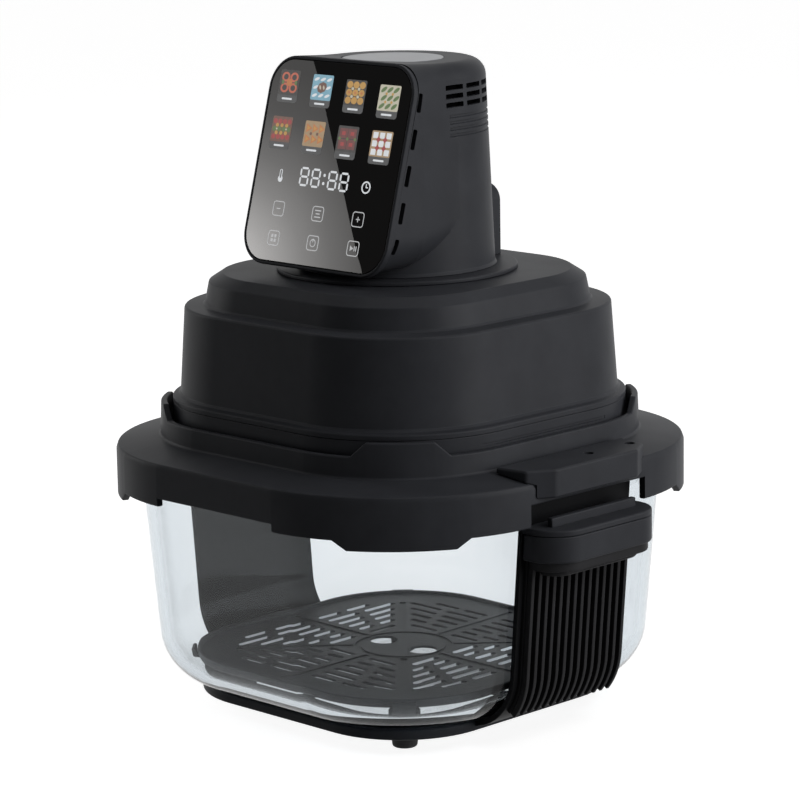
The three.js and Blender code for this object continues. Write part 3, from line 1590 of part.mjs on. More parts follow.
const bowl = new THREE.Group();
bowl.position.z = bowlSeat;
const outside = bowlSide(0, 0, bowlHeight - rimRound);
const inside = bowlSide(-glassWall, 0, bowlHeight - rimRound).reverse();
const rimOuter = outside[outside.length - 1][0] - rimRound;
const rimInner = inside[0][0] + rimRound;
const bowlRings = [...outside, [rimOuter, bowlHeight], [rimInner, bowlHeight], ...inside];
bowl.add(mesh("glass_bowl", skin(bowlRings.map(([half, z]) => outline(half, bowlFlat, z))), clearGlass));

const tray = new THREE.Group();
tray.position.z = plateSeat;
tray.add(mesh("crisper_plate", crisperPlate(), coated));
cornerNames.forEach((name, corner) => tray.add(mesh("plate_bumper_" + name, plateBumper(corner), silicone)));
bowl.add(tray);

const ring = new THREE.Group();
ring.position.z = ringSeat;
ring.add(mesh("adapter_ring", adapterRing(), blackPlastic));
ring.add(mesh("ring_gasket", ringGasket(), silicone));
for (const [name, turn] of sides) {
  const lift = new THREE.Group();
  lift.rotation.z = turn;
  lift.add(mesh("lift_block_" + name, liftBlock(), blackPlastic));
  blockHolePlaces.forEach((place, index) => {
    lift.add(mesh("lift_block_screw_" + name + "_" + (index + 1), blockScrew(place), darkSteel));
  });
  ring.add(lift);
}

const pod = new THREE.Group();
pod.position.z = podSeat;
pod.add(
  mesh("dome_base", domeBase(), blackPlastic),
  mesh("dome_shell", domeShell(), blackPlastic),
  mesh("reflector_pan", reflectorPan(), steel),
  mesh("insulation_pad", insulationPad(), wool),
  mesh("fan_guard", fanGuard(), steel),
  mesh("heater_coil", heaterCoil(), darkSteel),
  mesh("heater_terminals", heaterTerminals(), ceramic),
  mesh("temperature_probe", temperatureProbe(), steel),
  mesh("thermal_fuse", thermalFuse(), ceramic),
  mesh("safety_switch", safetySwitch(), darkPlastic),
  mesh("motor_bracket", motorBracket(), steel),
  mesh("motor_bush", motorBush(), brass),
  mesh("motor_body", motorBody(), darkSteel),
  mesh("power_board", powerBoard(), board),
);
cornerNames.forEach((name, corner) => pod.add(mesh("pod_screw_" + name, podScrew(corner), darkSteel)));

const disc = mesh("neck_disc", neckDisc(), blackPlastic);
disc.position.z = discSeat;
pod.add(disc);

const head = new THREE.Group();
head.position.z = headSeat;
head.add(
  mesh("head_shell", headShell(), blackPlastic),
  mesh("top_insert", topInsert(), greyPlastic),
  mesh("power_inlet", powerInlet(), darkPlastic),
  mesh("inlet_contacts", inletContacts(), brass),
);
const display = new THREE.Group();
display.position.set(0, -displayReach, displayMiddle);
display.rotation.x = quarter - displayLean;
display.add(
  mesh("display_bezel", bezel(), blackPlastic),
  mesh("display_glass", displayGlass(), blackGlass),
  mesh("display_board", displayBoard(), board),
);
head.add(display);
pod.add(head);

const rotor = new THREE.Group();
const coolingFan = fan(coolingRadius, coolingBottom, coolingHeight, coolingBlades, coolingInner, false);
rotor.add(
  mesh("motor_shaft", shaftGeometry(), steel),
  mesh("circulation_fan", fan(fanRadius, fanBottom, fanHeight, bladeCount, bladeInner, true), steel),
  mesh("fan_nut", fanNut(), steel),
  mesh("cooling_fan", coolingFan, darkPlastic),
);
pod.add(rotor);
pod.add(mesh("interlock_plunger", plungerPin(), greyPlastic));

const airFryer = new THREE.Group();
airFryer.add(cradle, bowl, ring, pod);

export default airFryer;
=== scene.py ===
# Glass air fryer: smooth pieces, finishes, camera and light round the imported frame.
# Sizes are millimetres in the frame's own axes: +Z up, the display towards -Y. Meshes are made in metres.
import json
import math

import bmesh
import bpy
from mathutils import Matrix, Vector


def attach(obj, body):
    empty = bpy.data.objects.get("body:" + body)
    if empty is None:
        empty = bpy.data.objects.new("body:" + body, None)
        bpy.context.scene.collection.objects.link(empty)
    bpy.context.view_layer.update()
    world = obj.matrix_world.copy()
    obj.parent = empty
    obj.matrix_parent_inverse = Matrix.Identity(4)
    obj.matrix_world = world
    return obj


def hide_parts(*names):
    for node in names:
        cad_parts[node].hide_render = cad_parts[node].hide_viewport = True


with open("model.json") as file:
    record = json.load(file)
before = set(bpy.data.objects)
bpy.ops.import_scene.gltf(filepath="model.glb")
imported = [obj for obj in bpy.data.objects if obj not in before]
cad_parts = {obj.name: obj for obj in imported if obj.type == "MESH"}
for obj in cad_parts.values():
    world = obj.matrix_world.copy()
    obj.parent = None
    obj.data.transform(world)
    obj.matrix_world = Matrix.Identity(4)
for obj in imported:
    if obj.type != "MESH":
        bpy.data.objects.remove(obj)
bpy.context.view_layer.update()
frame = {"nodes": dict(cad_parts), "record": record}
mm = 0.001
quarter = math.pi / 2
sides = (("right", 0), ("left", 180))  # with the turn that takes a right piece there
cornerNames = ("back_right", "back_left", "front_left", "front_right")
cornerSigns = ((1, 1), (-1, 1), (-1, -1), (1, -1))
print("frame loaded:", len(frame["nodes"]), "nodes")


def newObject(name, data):
    made = bpy.data.objects.new(name, data)
    bpy.context.collection.objects.link(made)
    return made


# The direction from the object at an azimuth, counted from the front towards the right, and an elevation.
def directionTo(azimuth, elevation):
    turn, rise = math.radians(azimuth), math.radians(elevation)
    return Vector((math.sin(turn) * math.cos(rise), -math.cos(turn) * math.cos(rise), math.sin(rise)))


# Camera: fitted to the photograph. Its clipping distances are in metres.
cameraPlace = {"azimuth": 45.04, "elevation": 11.417, "roll": -0.946, "distance": 1800, "sideways": 0.296,
               "targetHeight": 163, "lens": 153.7, "sensor": 36, "nearest": 0.05, "farthest": 200}


def addCamera():
    size = cameraPlace
    turn = math.radians(size["azimuth"])
    roll = math.radians(size["roll"])
    back = directionTo(size["azimuth"], size["elevation"])
    right = Vector((math.cos(turn), math.sin(turn), 0))
    up = back.cross(right)
    across = right * math.cos(roll) + up * math.sin(roll)
    upright = up * math.cos(roll) - right * math.sin(roll)
    place = right * size["sideways"] + Vector((0, 0, size["targetHeight"]))
    place = (place + back * size["distance"]) * mm
    lens = bpy.data.cameras.new("camera")
    lens.sensor_fit = "HORIZONTAL"
    lens.sensor_width = size["sensor"]
    lens.lens = size["lens"]
    lens.clip_start = size["nearest"]
    lens.clip_end = size["farthest"]
    camera = newObject("camera", lens)
    camera.matrix_world = Matrix.Translation(place) @ Matrix((across, upright, back)).transposed().to_4x4()
    bpy.context.scene.camera = camera


addCamera()
print("camera placed")


# Mesh making. A rounding takes up to arcShare of the shorter side next to it.
making = {"mergeWithin": 1e-7, "arcShare": 0.49, "normalWeight": 60}


def newPiece(name, points, faces, at):
    mesh = bpy.data.meshes.new(name)
    mesh.from_pydata([Vector(p) * mm for p in points], [], faces)
    work = bmesh.new()
    work.from_mesh(mesh)
    bmesh.ops.remove_doubles(work, verts=work.verts, dist=making["mergeWithin"])
    bmesh.ops.recalc_face_normals(work, faces=work.faces)
    work.to_mesh(mesh)
    work.free()
    if at is not None:
        mesh.transform(at)
    return newObject(name, mesh)


# A skin over rings of points, closed by two caps or by joining the last ring to the first.
def skin(rings, looped):
    count = len(rings[0])
    points = [point for ring in rings for point in ring]
    faces = []
    for band in range(len(rings) if looped else len(rings) - 1):
        low = band * count
        high = ((band + 1) % len(rings)) * count
        for i in range(count):
            j = (i + 1) % count
            faces.append((low + i, low + j, high + j, high + i))
    if not looped:
        faces.append(tuple(range(count - 1, -1, -1)))
        faces.append(tuple((len(rings) - 1) * count + i for i in range(count)))
    return points, faces


def skinPiece(name, rings, looped=False, at=None):
    return newPiece(name, *skin(rings, looped), at)


# A line of corners (a, b, radius, more...) with each corner rounded by an arc of that radius.
def eased(corners, steps, closed=False):
    points = []
    count = len(corners)
    for i, corner in enumerate(corners):
        here = Vector(corner[:2])
        more = tuple(corner[3:])
        radius = corner[2]
        atEnd = not closed and i in (0, count - 1)
        if not radius or atEnd:
            points.append((here.x, here.y) + more)
            continue
        before = Vector(corners[i - 1][:2]) - here
        after = Vector(corners[(i + 1) % count][:2]) - here
        angle = before.angle(after)
        share = making["arcShare"]
        reach = min(radius / math.tan(angle / 2), before.length * share, after.length * share)
        radius = reach * math.tan(angle / 2)
        first = here + before.normalized() * reach
        middle = here + (before.normalized() + after.normalized()).normalized() * (radius / math.sin(angle / 2))
        last = here + after.normalized() * reach
        start = first - middle
        sweep = (last - middle).angle_signed(start)
        for step in range(steps + 1):
            turn = sweep * step / steps
            spoke = Vector((
                start.x * math.cos(turn) - start.y * math.sin(turn),
                start.x * math.sin(turn) + start.y * math.cos(turn),
            ))
            points.append((middle.x + spoke.x, middle.y + spoke.y) + more)
    return points


# Points of an arc round (x, y). Its first turn and its span are in quarter turns.
def arc(x, y, radius, first, span, steps):
    turns = [quarter * (first + span * step / steps) for step in range(steps + 1)]
    return [(x + radius * math.cos(turn), y + radius * math.sin(turn)) for turn in turns]


# Points round four corners, whose arcs have their middles at plus and minus x and y.
def cornerRing(x, y, radius, z, steps):
    points = []
    for corner, (across, along) in enumerate(cornerSigns):
        points += [(a, b, z) for a, b in arc(across * x, along * y, radius, corner, 1, steps)]
    return points


# A rounded square, its straight sides 2 * flat long.
def squareRing(half, flat, z, steps):
    return cornerRing(flat, flat, half - flat, z, steps)


def oblongRing(halfWidth, halfHeight, radius, z, steps):
    return cornerRing(halfWidth - radius, halfHeight - radius, radius, z, steps)


def oblong(width, depth, x=0, y=0):
    return [(x + across * width / 2, y + along * depth / 2) for across, along in ((-1, -1), (1, -1), (1, 1), (-1, 1))]


# Half of a section in x and z, with its mirror image at the left.
def mirroredRing(half, y):
    return [(x, y, z) for x, z in half] + [(-x, y, z) for x, z in half[::-1]]


def squarePiece(name, rows, looped=False, steps=18):
    return skinPiece(name, [squareRing(half, flat, z, steps) for half, z, flat in rows], looped)


def turnedPiece(name, profile, looped=False, steps=72, at=None):
    turns = [4 * quarter * i / steps for i in range(steps)]
    points, faces = skin([[(r * math.cos(t), r * math.sin(t), z) for t in turns] for r, z in profile], looped)
    if not looped and not profile[0][0] and not profile[-1][0]:
        faces = faces[:-2]
    return newPiece(name, points, faces, at)


def rodPiece(name, radius, low, high, steps, at=None):
    return turnedPiece(name, [(0, low), (radius, low), (radius, high), (0, high)], steps=steps, at=at)


# A bar along y over an outline in x and z.
def barPiece(name, outline, start, end):
    return skinPiece(name, [[(x, y, z) for x, z in outline] for y in (start, end)])


# A block between two heights over an outline in plan, its upright and level edges bevelled.
def prism(name, outline, low, high, edge=0, at=None, segments=3):
    piece = skinPiece(name, [[(x, y, z) for x, y in outline] for z in (low, high)])
    if edge:
        softenEdges(piece, edge, segments)
    if at is not None:
        piece.data.transform(at)
    return piece


def softenEdges(piece, width, segments, limit=25):
    work = bmesh.new()
    work.from_mesh(piece.data)
    sharp = [e for e in work.edges if len(e.link_faces) == 2 and e.calc_face_angle() > math.radians(limit)]
    bmesh.ops.bevel(work, geom=sharp, offset=width * mm, segments=segments, profile=0.5, affect="EDGES",
                    clamp_overlap=True)
    work.to_mesh(piece.data)
    work.free()


# Puts the result of a piece's modifiers into its own mesh.
def settle(piece):
    graph = bpy.context.evaluated_depsgraph_get()
    made = bpy.data.meshes.new_from_object(piece.evaluated_get(graph))
    old = piece.data
    piece.modifiers.clear()
    piece.data = made
    bpy.data.meshes.remove(old)
    made.name = piece.name
    return piece


def combine(piece, operation, *tools):
    for tool in tools:
        before = len(piece.data.vertices)
        step = piece.modifiers.new("combine", "BOOLEAN")
        step.operation = operation
        step.solver = "MANIFOLD"
        step.object = tool
        settle(piece)
        if len(piece.data.vertices) == before:
            print("  unchanged by", tool.name, "on", piece.name)
        dropPiece(tool)
    return piece


def dropPiece(piece):
    mesh = piece.data
    bpy.data.objects.remove(piece)
    if mesh.users == 0:
        bpy.data.meshes.remove(mesh)


def carve(piece, *tools):
    return combine(piece, "DIFFERENCE", *tools)


def unite(piece, *tools):
    return combine(piece, "UNION", *tools)


# Smooth faces with crisp edges, and normals that follow the large faces.
def smooth(piece, angle=30):
    piece.data.shade_smooth()
    piece.data.set_sharp_from_angle(angle=math.radians(angle))
    step = piece.modifiers.new("normals", "WEIGHTED_NORMAL")
    step.keep_sharp = True
    step.weight = making["normalWeight"]
    return settle(piece)


def joinPieces(name, pieces):
    work = bmesh.new()
    for piece in pieces:
        work.from_mesh(piece.data)
    mesh = bpy.data.meshes.new(name)
    work.to_mesh(mesh)
    work.free()
    for piece in pieces:
        dropPiece(piece)
    return newObject(name, mesh)


def turnedAbout(degrees):
    return Matrix.Rotation(math.radians(degrees), 4, "Z")


def placedAt(x, y, z=0):
    return Matrix.Translation(Vector((x, y, z)) * mm)


# The place of a corner at a reach from the middle, and the turn that takes the x axis there.
def cornerPlace(reach, corner):
    turn = quarter * (corner + 0.5)
    return reach * math.cos(turn), reach * math.sin(turn)


def cornerTurn(corner):
    return turnedAbout(90 * (corner + 0.5))


# Sets a node's inputs: a value goes in as it is, and a socket is linked.
def feed(node, given):
    for key, value in given.items():
        if isinstance(value, bpy.types.NodeSocket):
            node.id_data.links.new(value, node.inputs[key])
        else:
            node.inputs[key].default_value = value


def newNode(tree, kind, given=None, operation=None):
    node = tree.nodes.new(kind)
    if operation:
        node.operation = operation
    feed(node, given or {})
    return node


# Geometry nodes: copies of a piece, each one step further along and one turn further round the z axis.
def spreadTree():
    tree = bpy.data.node_groups.new("spread copies", "GeometryNodeTree")
    for label, kind in (("Geometry", "Geometry"), ("Count", "Int"), ("Step", "Vector"), ("First turn", "Float"),
                        ("Turn", "Float"), ("Material", "Material")):
        tree.interface.new_socket(label, in_out="INPUT", socket_type="NodeSocket" + kind)
    tree.interface.new_socket("Geometry", in_out="OUTPUT", socket_type="NodeSocketGeometry")
    given = newNode(tree, "NodeGroupInput").outputs
    index = newNode(tree, "GeometryNodeInputIndex").outputs[0]
    along = newNode(tree, "ShaderNodeVectorMath", {0: given["Step"], "Scale": index}, "SCALE")
    places = newNode(tree, "GeometryNodePoints", {"Count": given["Count"], "Position": along.outputs[0]})
    turn = newNode(tree, "ShaderNodeMath", {0: index, 1: given["Turn"], 2: given["First turn"]}, "MULTIPLY_ADD")
    heading = newNode(tree, "ShaderNodeCombineXYZ", {"Z": turn.outputs[0]})
    copies = newNode(tree, "GeometryNodeInstanceOnPoints", {
        "Points": places.outputs[0], "Instance": given["Geometry"], "Rotation": heading.outputs[0]})
    solid = newNode(tree, "GeometryNodeRealizeInstances", {0: copies.outputs[0]})
    finish = newNode(tree, "GeometryNodeSetMaterial", {"Geometry": solid.outputs[0], "Material": given["Material"]})
    newNode(tree, "NodeGroupOutput", {0: finish.outputs[0]})
    return tree


spread = spreadTree()


def spreadCopies(piece, count, step=(0, 0, 0), firstTurn=0.0, turn=0.0, finish=None):
    made = piece.modifiers.new("spread", "NODES")
    made.node_group = spread
    values = {
        "Count": count,
        "Step": [s * mm for s in step],
        "First turn": math.radians(firstTurn),
        "Turn": math.radians(turn),
        "Material": finish,
    }
    for item in spread.interface.items_tree:
        if item.in_out == "INPUT" and item.name in values and values[item.name] is not None:
            made[item.identifier] = values[item.name]
    return settle(piece)


print("tools ready")


# Finishes

def newFinish(name):
    finish = bpy.data.materials.new(name)
    finish.use_nodes = True
    tree = finish.node_tree
    newNode(tree, "ShaderNodeTexCoord")
    return finish, tree, tree.nodes["Principled BSDF"]


def objectCoords(tree):
    return tree.nodes["Texture Coordinate"].outputs["Object"]


def noiseOf(tree, scale, detail, roughness, stretch=None):
    source = objectCoords(tree)
    if stretch:
        source = newNode(tree, "ShaderNodeMapping", {"Vector": source, "Scale": stretch}).outputs[0]
    noise = newNode(tree, "ShaderNodeTexNoise", {
        "Vector": source, "Scale": scale, "Detail": detail, "Roughness": roughness})
    return noise.outputs["Fac"]


def rampOf(tree, source, low, high, dark, light):
    ramp = newNode(tree, "ShaderNodeValToRGB", {0: source})
    for stop, position, colour in zip(ramp.color_ramp.elements, (low, high), (dark, light)):
        stop.position = position
        stop.color = (*colour, 1)
    return ramp.outputs["Color"]


def rangeOf(tree, source, low, high):
    return newNode(tree, "ShaderNodeMapRange", {"Value": source, "To Min": low, "To Max": high}).outputs[0]


def bumpOf(tree, source, distance, strength):
    bump = newNode(tree, "ShaderNodeBump", {"Height": source, "Distance": distance * mm, "Strength": strength})
    return bump.outputs[0]


# Noise as (scale, detail, roughness), and where the cloudy colour starts and ends
moulded = {"clouds": (45, 4, 0.6), "patches": (27, 3, 0.55), "grain": (2, 0.6), "ramp": (0.3, 0.72)}


# Moulded, coated or pressed material: cloudy colour, uneven gloss and a fine grain.
def grainFinish(name, dark, light, rough, grain=2200, depth=0.05, strength=0.25, metallic=0.0, level=0.5,
                stretch=None):
    finish, tree, shader = newFinish(name)
    clouds = noiseOf(tree, *moulded["clouds"])
    patches = noiseOf(tree, *moulded["patches"])
    fine = noiseOf(tree, grain, *moulded["grain"], stretch)
    feed(shader, {
        "Base Color": rampOf(tree, clouds, *moulded["ramp"], dark, light),
        "Roughness": rangeOf(tree, patches, *rough),
        "Normal": bumpOf(tree, fine, depth, strength),
        "Metallic": metallic,
        "Specular IOR Level": level,
    })
    return finish


# Name, dark and light colour, least and most roughness, then the scale, depth and strength of the grain
finishes = {
    "black_plastic": grainFinish("moulded black", (0.0136, 0.0142, 0.0164), (0.0176, 0.0184, 0.021), (0.4, 0.48),
                                 level=0.04),
    # Black for the cradle's arms, darker than the moulded black of the ring: painted shade of the shadow that the
    # handles and the ring cast on them.
    "painted_shade_black": grainFinish("moulded black with painted shade", (0.0034, 0.0035, 0.0039), (0.0048, 0.0049, 0.0054), (0.4, 0.5),
                              strength=0.02, level=0.03),
    # Near-black for the wall behind the vents: painted shade of the head's inside.
    "unlit": grainFinish("painted shade inside vents", (0.0008, 0.0008, 0.0009), (0.0014, 0.0014, 0.0015), (0.8, 0.9), level=0.0),
    "dark_plastic": grainFinish("moulded dark", (0.009, 0.009, 0.0096), (0.0125, 0.0125, 0.0135), (0.46, 0.56),
                                level=0.04),
    "grey_plastic": grainFinish("satin grey", (0.115, 0.12, 0.13), (0.135, 0.14, 0.15), (0.34, 0.42), 2600, 0.03),
    "rubber": grainFinish("black rubber", (0.007, 0.007, 0.0075), (0.012, 0.012, 0.0125), (0.7, 0.85), 1500, 0.08,
                          0.3, level=0.3),
    "silicone": grainFinish("dark silicone", (0.013, 0.013, 0.014), (0.019, 0.019, 0.021), (0.55, 0.68), 1800, 0.05),
    "coated_metal": grainFinish("non-stick coating", (0.024, 0.0243, 0.0253), (0.042, 0.0425, 0.044), (0.42, 0.55),
                                700, 0.16, 0.55, level=0.2),
    "steel": grainFinish("brushed steel", (0.5, 0.505, 0.51), (0.62, 0.625, 0.63), (0.24, 0.36), 900, 0.02, 0.2,
                         metallic=1.0, stretch=(1, 1, 14)),
    "dark_steel": grainFinish("dark steel", (0.09, 0.092, 0.097), (0.14, 0.143, 0.15), (0.32, 0.46), 1400, 0.03,
                              0.25, metallic=1.0),
    # A pale cut-edge colour, put only on the plate's slot walls that catch the right lamp: partly the bare edge, partly
    # painted highlight.
    "bare_edge_and_highlight": grainFinish("bare cut edge and painted highlight", (0.62, 0.63, 0.64), (0.78, 0.785, 0.79), (0.4, 0.55), 900, 0.03, 0.2),
    "ceramic": grainFinish("bare ceramic", (0.66, 0.62, 0.54), (0.78, 0.75, 0.68), (0.7, 0.85), 1600, 0.08, 0.35),
    "wool": grainFinish("pressed fibre", (0.5, 0.47, 0.38), (0.7, 0.67, 0.58), (0.85, 0.95), 420, 0.6, 0.7),
    "circuit_board": grainFinish("board laminate", (0.012, 0.075, 0.03), (0.02, 0.11, 0.045), (0.4, 0.55), 800, 0.04),
    "brass": grainFinish("plain brass", (0.5, 0.37, 0.15), (0.62, 0.48, 0.22), (0.25, 0.38), 1200, 0.02, 0.2,
                         metallic=1.0),
}
clearGlass = {
    "waves": (22, 2, 0.4), "ramp": (0.35, 0.7, (0.955, 0.955, 0.955), (0.97, 0.97, 0.97)), "rough": (0.0, 0.01),
    "waveDepth": 0.25, "waveStrength": 0.12, "bending": 1.24, "shadow": (0.88, 0.92, 0.94, 1),
    "tint": (0.82, 0.85, 0.87, 1), "tintDensity": 170,
}
darkGlass = {"smears": (30, 3, 0.5), "ramp": (0.3, 0.7, (0.0038, 0.0032, 0.003), (0.005, 0.0042, 0.004)),
             "rough": (0.0, 0.008), "level": 0.035}
backlight = {"unevenness": (350, 2, 0.5), "ramp": (0.2, 0.8), "dimmest": 0.86, "unlit": ((0.05,) * 3, (0.08,) * 3),
             "rough": 0.3}


# Clear pressed glass: faint waves, and lamps reach what is behind it.
def glassFinish(name):
    look = clearGlass
    finish, tree, shader = newFinish(name)
    waves = noiseOf(tree, *look["waves"])
    feed(shader, {
        "Base Color": rampOf(tree, waves, *look["ramp"]),
        "Roughness": rangeOf(tree, waves, *look["rough"]),
        "Normal": bumpOf(tree, waves, look["waveDepth"], look["waveStrength"]),
        "Transmission Weight": 1.0,
        "IOR": look["bending"],
    })
    path = newNode(tree, "ShaderNodeLightPath").outputs
    clear = newNode(tree, "ShaderNodeBsdfTransparent", {"Color": look["shadow"]})
    mix = newNode(tree, "ShaderNodeMixShader", {0: path["Is Shadow Ray"], 1: shader.outputs[0], 2: clear.outputs[0]})
    tint = newNode(tree, "ShaderNodeVolumeAbsorption", {"Color": look["tint"], "Density": look["tintDensity"]})
    feed(tree.nodes["Material Output"], {"Surface": mix.outputs[0], "Volume": tint.outputs[0]})
    return finish


# Dark printed glass of the display: nearly black, very smooth, with faint smears.
def displayFinish(name):
    look = darkGlass
    finish, tree, shader = newFinish(name)
    smears = noiseOf(tree, *look["smears"])
    feed(shader, {
        "Base Color": rampOf(tree, smears, *look["ramp"]),
        "Roughness": rangeOf(tree, smears, *look["rough"]),
        "Specular IOR Level": look["level"],
    })
    return finish


# Backlit print on the display: an even glow, slightly cloudy.
def glowFinish(name, colour, strength):
    look = backlight
    finish, tree, shader = newFinish(name)
    uneven = noiseOf(tree, *look["unevenness"])
    feed(shader, {
        "Emission Color": rampOf(tree, uneven, *look["ramp"], tuple(c * look["dimmest"] for c in colour), colour),
        "Base Color": rampOf(tree, uneven, *look["ramp"], *look["unlit"]),
        "Emission Strength": strength,
        "Roughness": look["rough"],
    })
    return finish


finishes["clear_glass"] = glassFinish("clear glass")
finishes["black_glass"] = displayFinish("dark printed glass")


def show(piece, slotName, body, *nodes, finish=None):
    piece.data.materials.clear()
    piece.data.materials.append(finish or finishes[slotName])
    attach(piece, body)
    if nodes:
        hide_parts(*nodes)
    return piece


# Every CAD node gets its slot's finish; most visible ones are replaced below.
for subpart in frame["record"]["subparts"]:
    node = frame["nodes"][subpart["node"]]
    node.data.materials.clear()
    node.data.materials.append(finishes[subpart["material_slot"]])
print("finishes made")


# In the dictionaries below, a profile's corners are (radius or half-width, height, rounding).

# Feet, with a ring groove in the sole and a stud that goes into the base
feet = {
    "reach": 86, "steps": 40,
    "profile": ((0, 0, 0), (2.6, 0, 0.3), (3.0, 0.7, 0.3), (3.4, 0, 0.3), (6.4, 0, 1.2), (7.4, 8.7, 0.4),
                (3.0, 8.7, 0.2), (3.0, 11.9, 0.5), (0, 11.9, 0)),
}


def addFeet():
    profile = eased(feet["profile"], steps=4)
    for corner, name in enumerate(cornerNames):
        at = placedAt(*cornerPlace(feet["reach"], corner))
        foot = turnedPiece("foot_pad_" + name, profile, steps=feet["steps"], at=at)
        show(smooth(foot), "rubber", "cradle", "foot_" + name)


addFeet()

# Bowl
bowl = {"seat": 14.8, "height": 123.2, "floorHalf": 84.7, "fillet": 30, "taper": 4.86, "flat": 36, "wall": 5,
        "rim": 1.9}


# The outside of the bowl at the middle of a side, offset outwards: (half-width, height above the floor).
def bowlSide(offset, startTurn, top, steps=20):
    radius = bowl["fillet"] + offset
    end = quarter - math.radians(bowl["taper"])
    start = math.radians(startTurn)
    points = []
    for step in range(steps + 1):
        turn = start + (end - start) * step / steps
        points.append((bowl["floorHalf"] + radius * math.sin(turn),
                       bowl["seat"] + bowl["fillet"] - radius * math.cos(turn)))
    half, z = points[-1]
    points.append((half + (top - z) * math.tan(math.radians(bowl["taper"])), top))
    return points


def addBowl():
    top = bowl["seat"] + bowl["height"]
    outside = bowlSide(0, 0, top)
    inside = bowlSide(-bowl["wall"], 0, top)
    rim = eased([(*outside[-2], 0), (*outside[-1], bowl["rim"]), (*inside[-1], bowl["rim"]), (*inside[-2], 0)],
                steps=6)
    rows = outside[:-2] + rim + inside[:-2][::-1]
    piece = squarePiece("glass_bowl_wall", [(half, z, bowl["flat"]) for half, z in rows], steps=24)
    return show(smooth(piece), "clear_glass", "bowl", "glass_bowl")


bowlWall = addBowl()
print("feet and bowl made")

# Cradle: a hollow base plate with an opening, and the two arms with their ribs.
# Layers of an arm are told by their distance from the glass; each starts a little inside the one below.
cradle = {
    "profile": ((10, 9, 0), (91, 9, 1.3), (91, 14.5, 1.3), (10, 14.5, 0)), "flat": 40,
    "hollowHalf": 87, "hollowLow": 7, "roof": 12.7, "ribLength": 182, "ribWidth": 2.4, "bossRadius": 8.2,
    "keptLow": 6, "keptHigh": 13.7, "opening": 79, "openingTop": 17, "lug": 8.2, "lugLength": 70, "lugMiddle": 121,
    "lugLow": 5, "lugTop": 20, "overlap": 0.01, "studRadius": 3.3, "studLow": 5, "studTop": 12.2,
    "armGap": 0.8, "flange": 3.8, "panel": 5.8, "rib": 8.8, "sunk": 0.4, "armHalf": 40.2, "panelHalf": 37.2,
    "armTop": 118, "flangeTop": 133.2, "soft": 0.6, "bevelShare": 0.3, "ribTop": 103, "ribStart": 50,
    "ribWide": 2.3, "ribPitch": 5.4, "ribCount": 14, "ribSoft": 0.45,
}


def addBase():
    size = cradle
    rows = eased(size["profile"], steps=5)
    plate = squarePiece("cradle_base", [(half, z, size["flat"]) for half, z in rows[1:-1]])
    hollow = squarePiece("hollow", [(size["hollowHalf"], z, size["flat"]) for z in (size["hollowLow"], size["roof"])])
    for width, depth in ((size["ribLength"], size["ribWidth"]), (size["ribWidth"], size["ribLength"])):
        carve(hollow, prism("rib", oblong(width, depth), size["keptLow"], size["keptHigh"]))
    opening = squarePiece("opening", [(size["opening"], z, size["flat"])
                                      for z in (size["roof"] - size["overlap"], size["openingTop"])])
    corners = [placedAt(*cornerPlace(feet["reach"], corner)) for corner in range(4)]
    for corner, at in enumerate(corners):
        carve(hollow, rodPiece("boss", size["bossRadius"], size["keptLow"], size["keptHigh"], steps=32, at=at))
        lug = prism("lug", oblong(size["lugLength"], 2 * size["lug"], size["lugMiddle"]), size["lugLow"],
                    size["lugTop"], at=cornerTurn(corner))
        carve(opening, lug, rodPiece("lug end", size["lug"], size["lugLow"], size["lugTop"], steps=32, at=at))
    carve(plate, hollow, opening)
    for at in corners:
        carve(plate, rodPiece("stud hole", size["studRadius"], size["studLow"], size["studTop"], steps=24, at=at))
    show(smooth(plate), "black_plastic", "cradle", "cradle_frame")


# A layer of the arm between two offsets from the glass, its edges across the width rounded.
def armLayer(name, inner, outer, startTurn, top, half, soft, middle=0.0):
    rings = []
    slight = soft * cradle["bevelShare"]
    start, end = middle - half, middle + half
    for y, inset in ((start, soft), (start + slight, slight), (start + soft, 0), (end - soft, 0),
                     (end - slight, slight), (end, soft)):
        outside = bowlSide(outer - inset, startTurn, top - inset, steps=14)
        inside = bowlSide(inner + inset, startTurn, top - inset, steps=14)
        rings.append([(x, y, z) for x, z in outside + inside[::-1]])
    return skinPiece(name, rings)


def addArms():
    size = cradle
    for name, turn in sides:
        flange = armLayer("flange", size["armGap"], size["flange"], 0, size["flangeTop"], size["armHalf"],
                          size["soft"])
        panel = armLayer("panel", size["flange"] - size["sunk"], size["panel"], size["ribStart"], size["armTop"],
                         size["panelHalf"], size["soft"])
        rib = armLayer("rib", size["panel"] - size["sunk"], size["rib"], size["ribStart"], size["ribTop"],
                       size["ribWide"] / 2, size["ribSoft"], -size["ribPitch"] * (size["ribCount"] - 1) / 2)
        # The ribs take the dark plastic finish and the rest of the arm a still darker black than the ring: both paint
        # the shade that falls on the arms.
        ribs = spreadCopies(rib, size["ribCount"], (0, size["ribPitch"], 0), finish=finishes["dark_plastic"])
        arm = joinPieces("arm", [flange, panel])
        for piece, label, finish in ((arm, "cradle_arm_", "painted_shade_black"), (ribs, "cradle_ribs_", "dark_plastic")):
            piece.data.transform(turnedAbout(turn))
            piece.name = label + name
            show(smooth(piece), "black_plastic", "cradle", "cradle_frame", finish=finishes[finish])


addBase()
addArms()
print("cradle made")

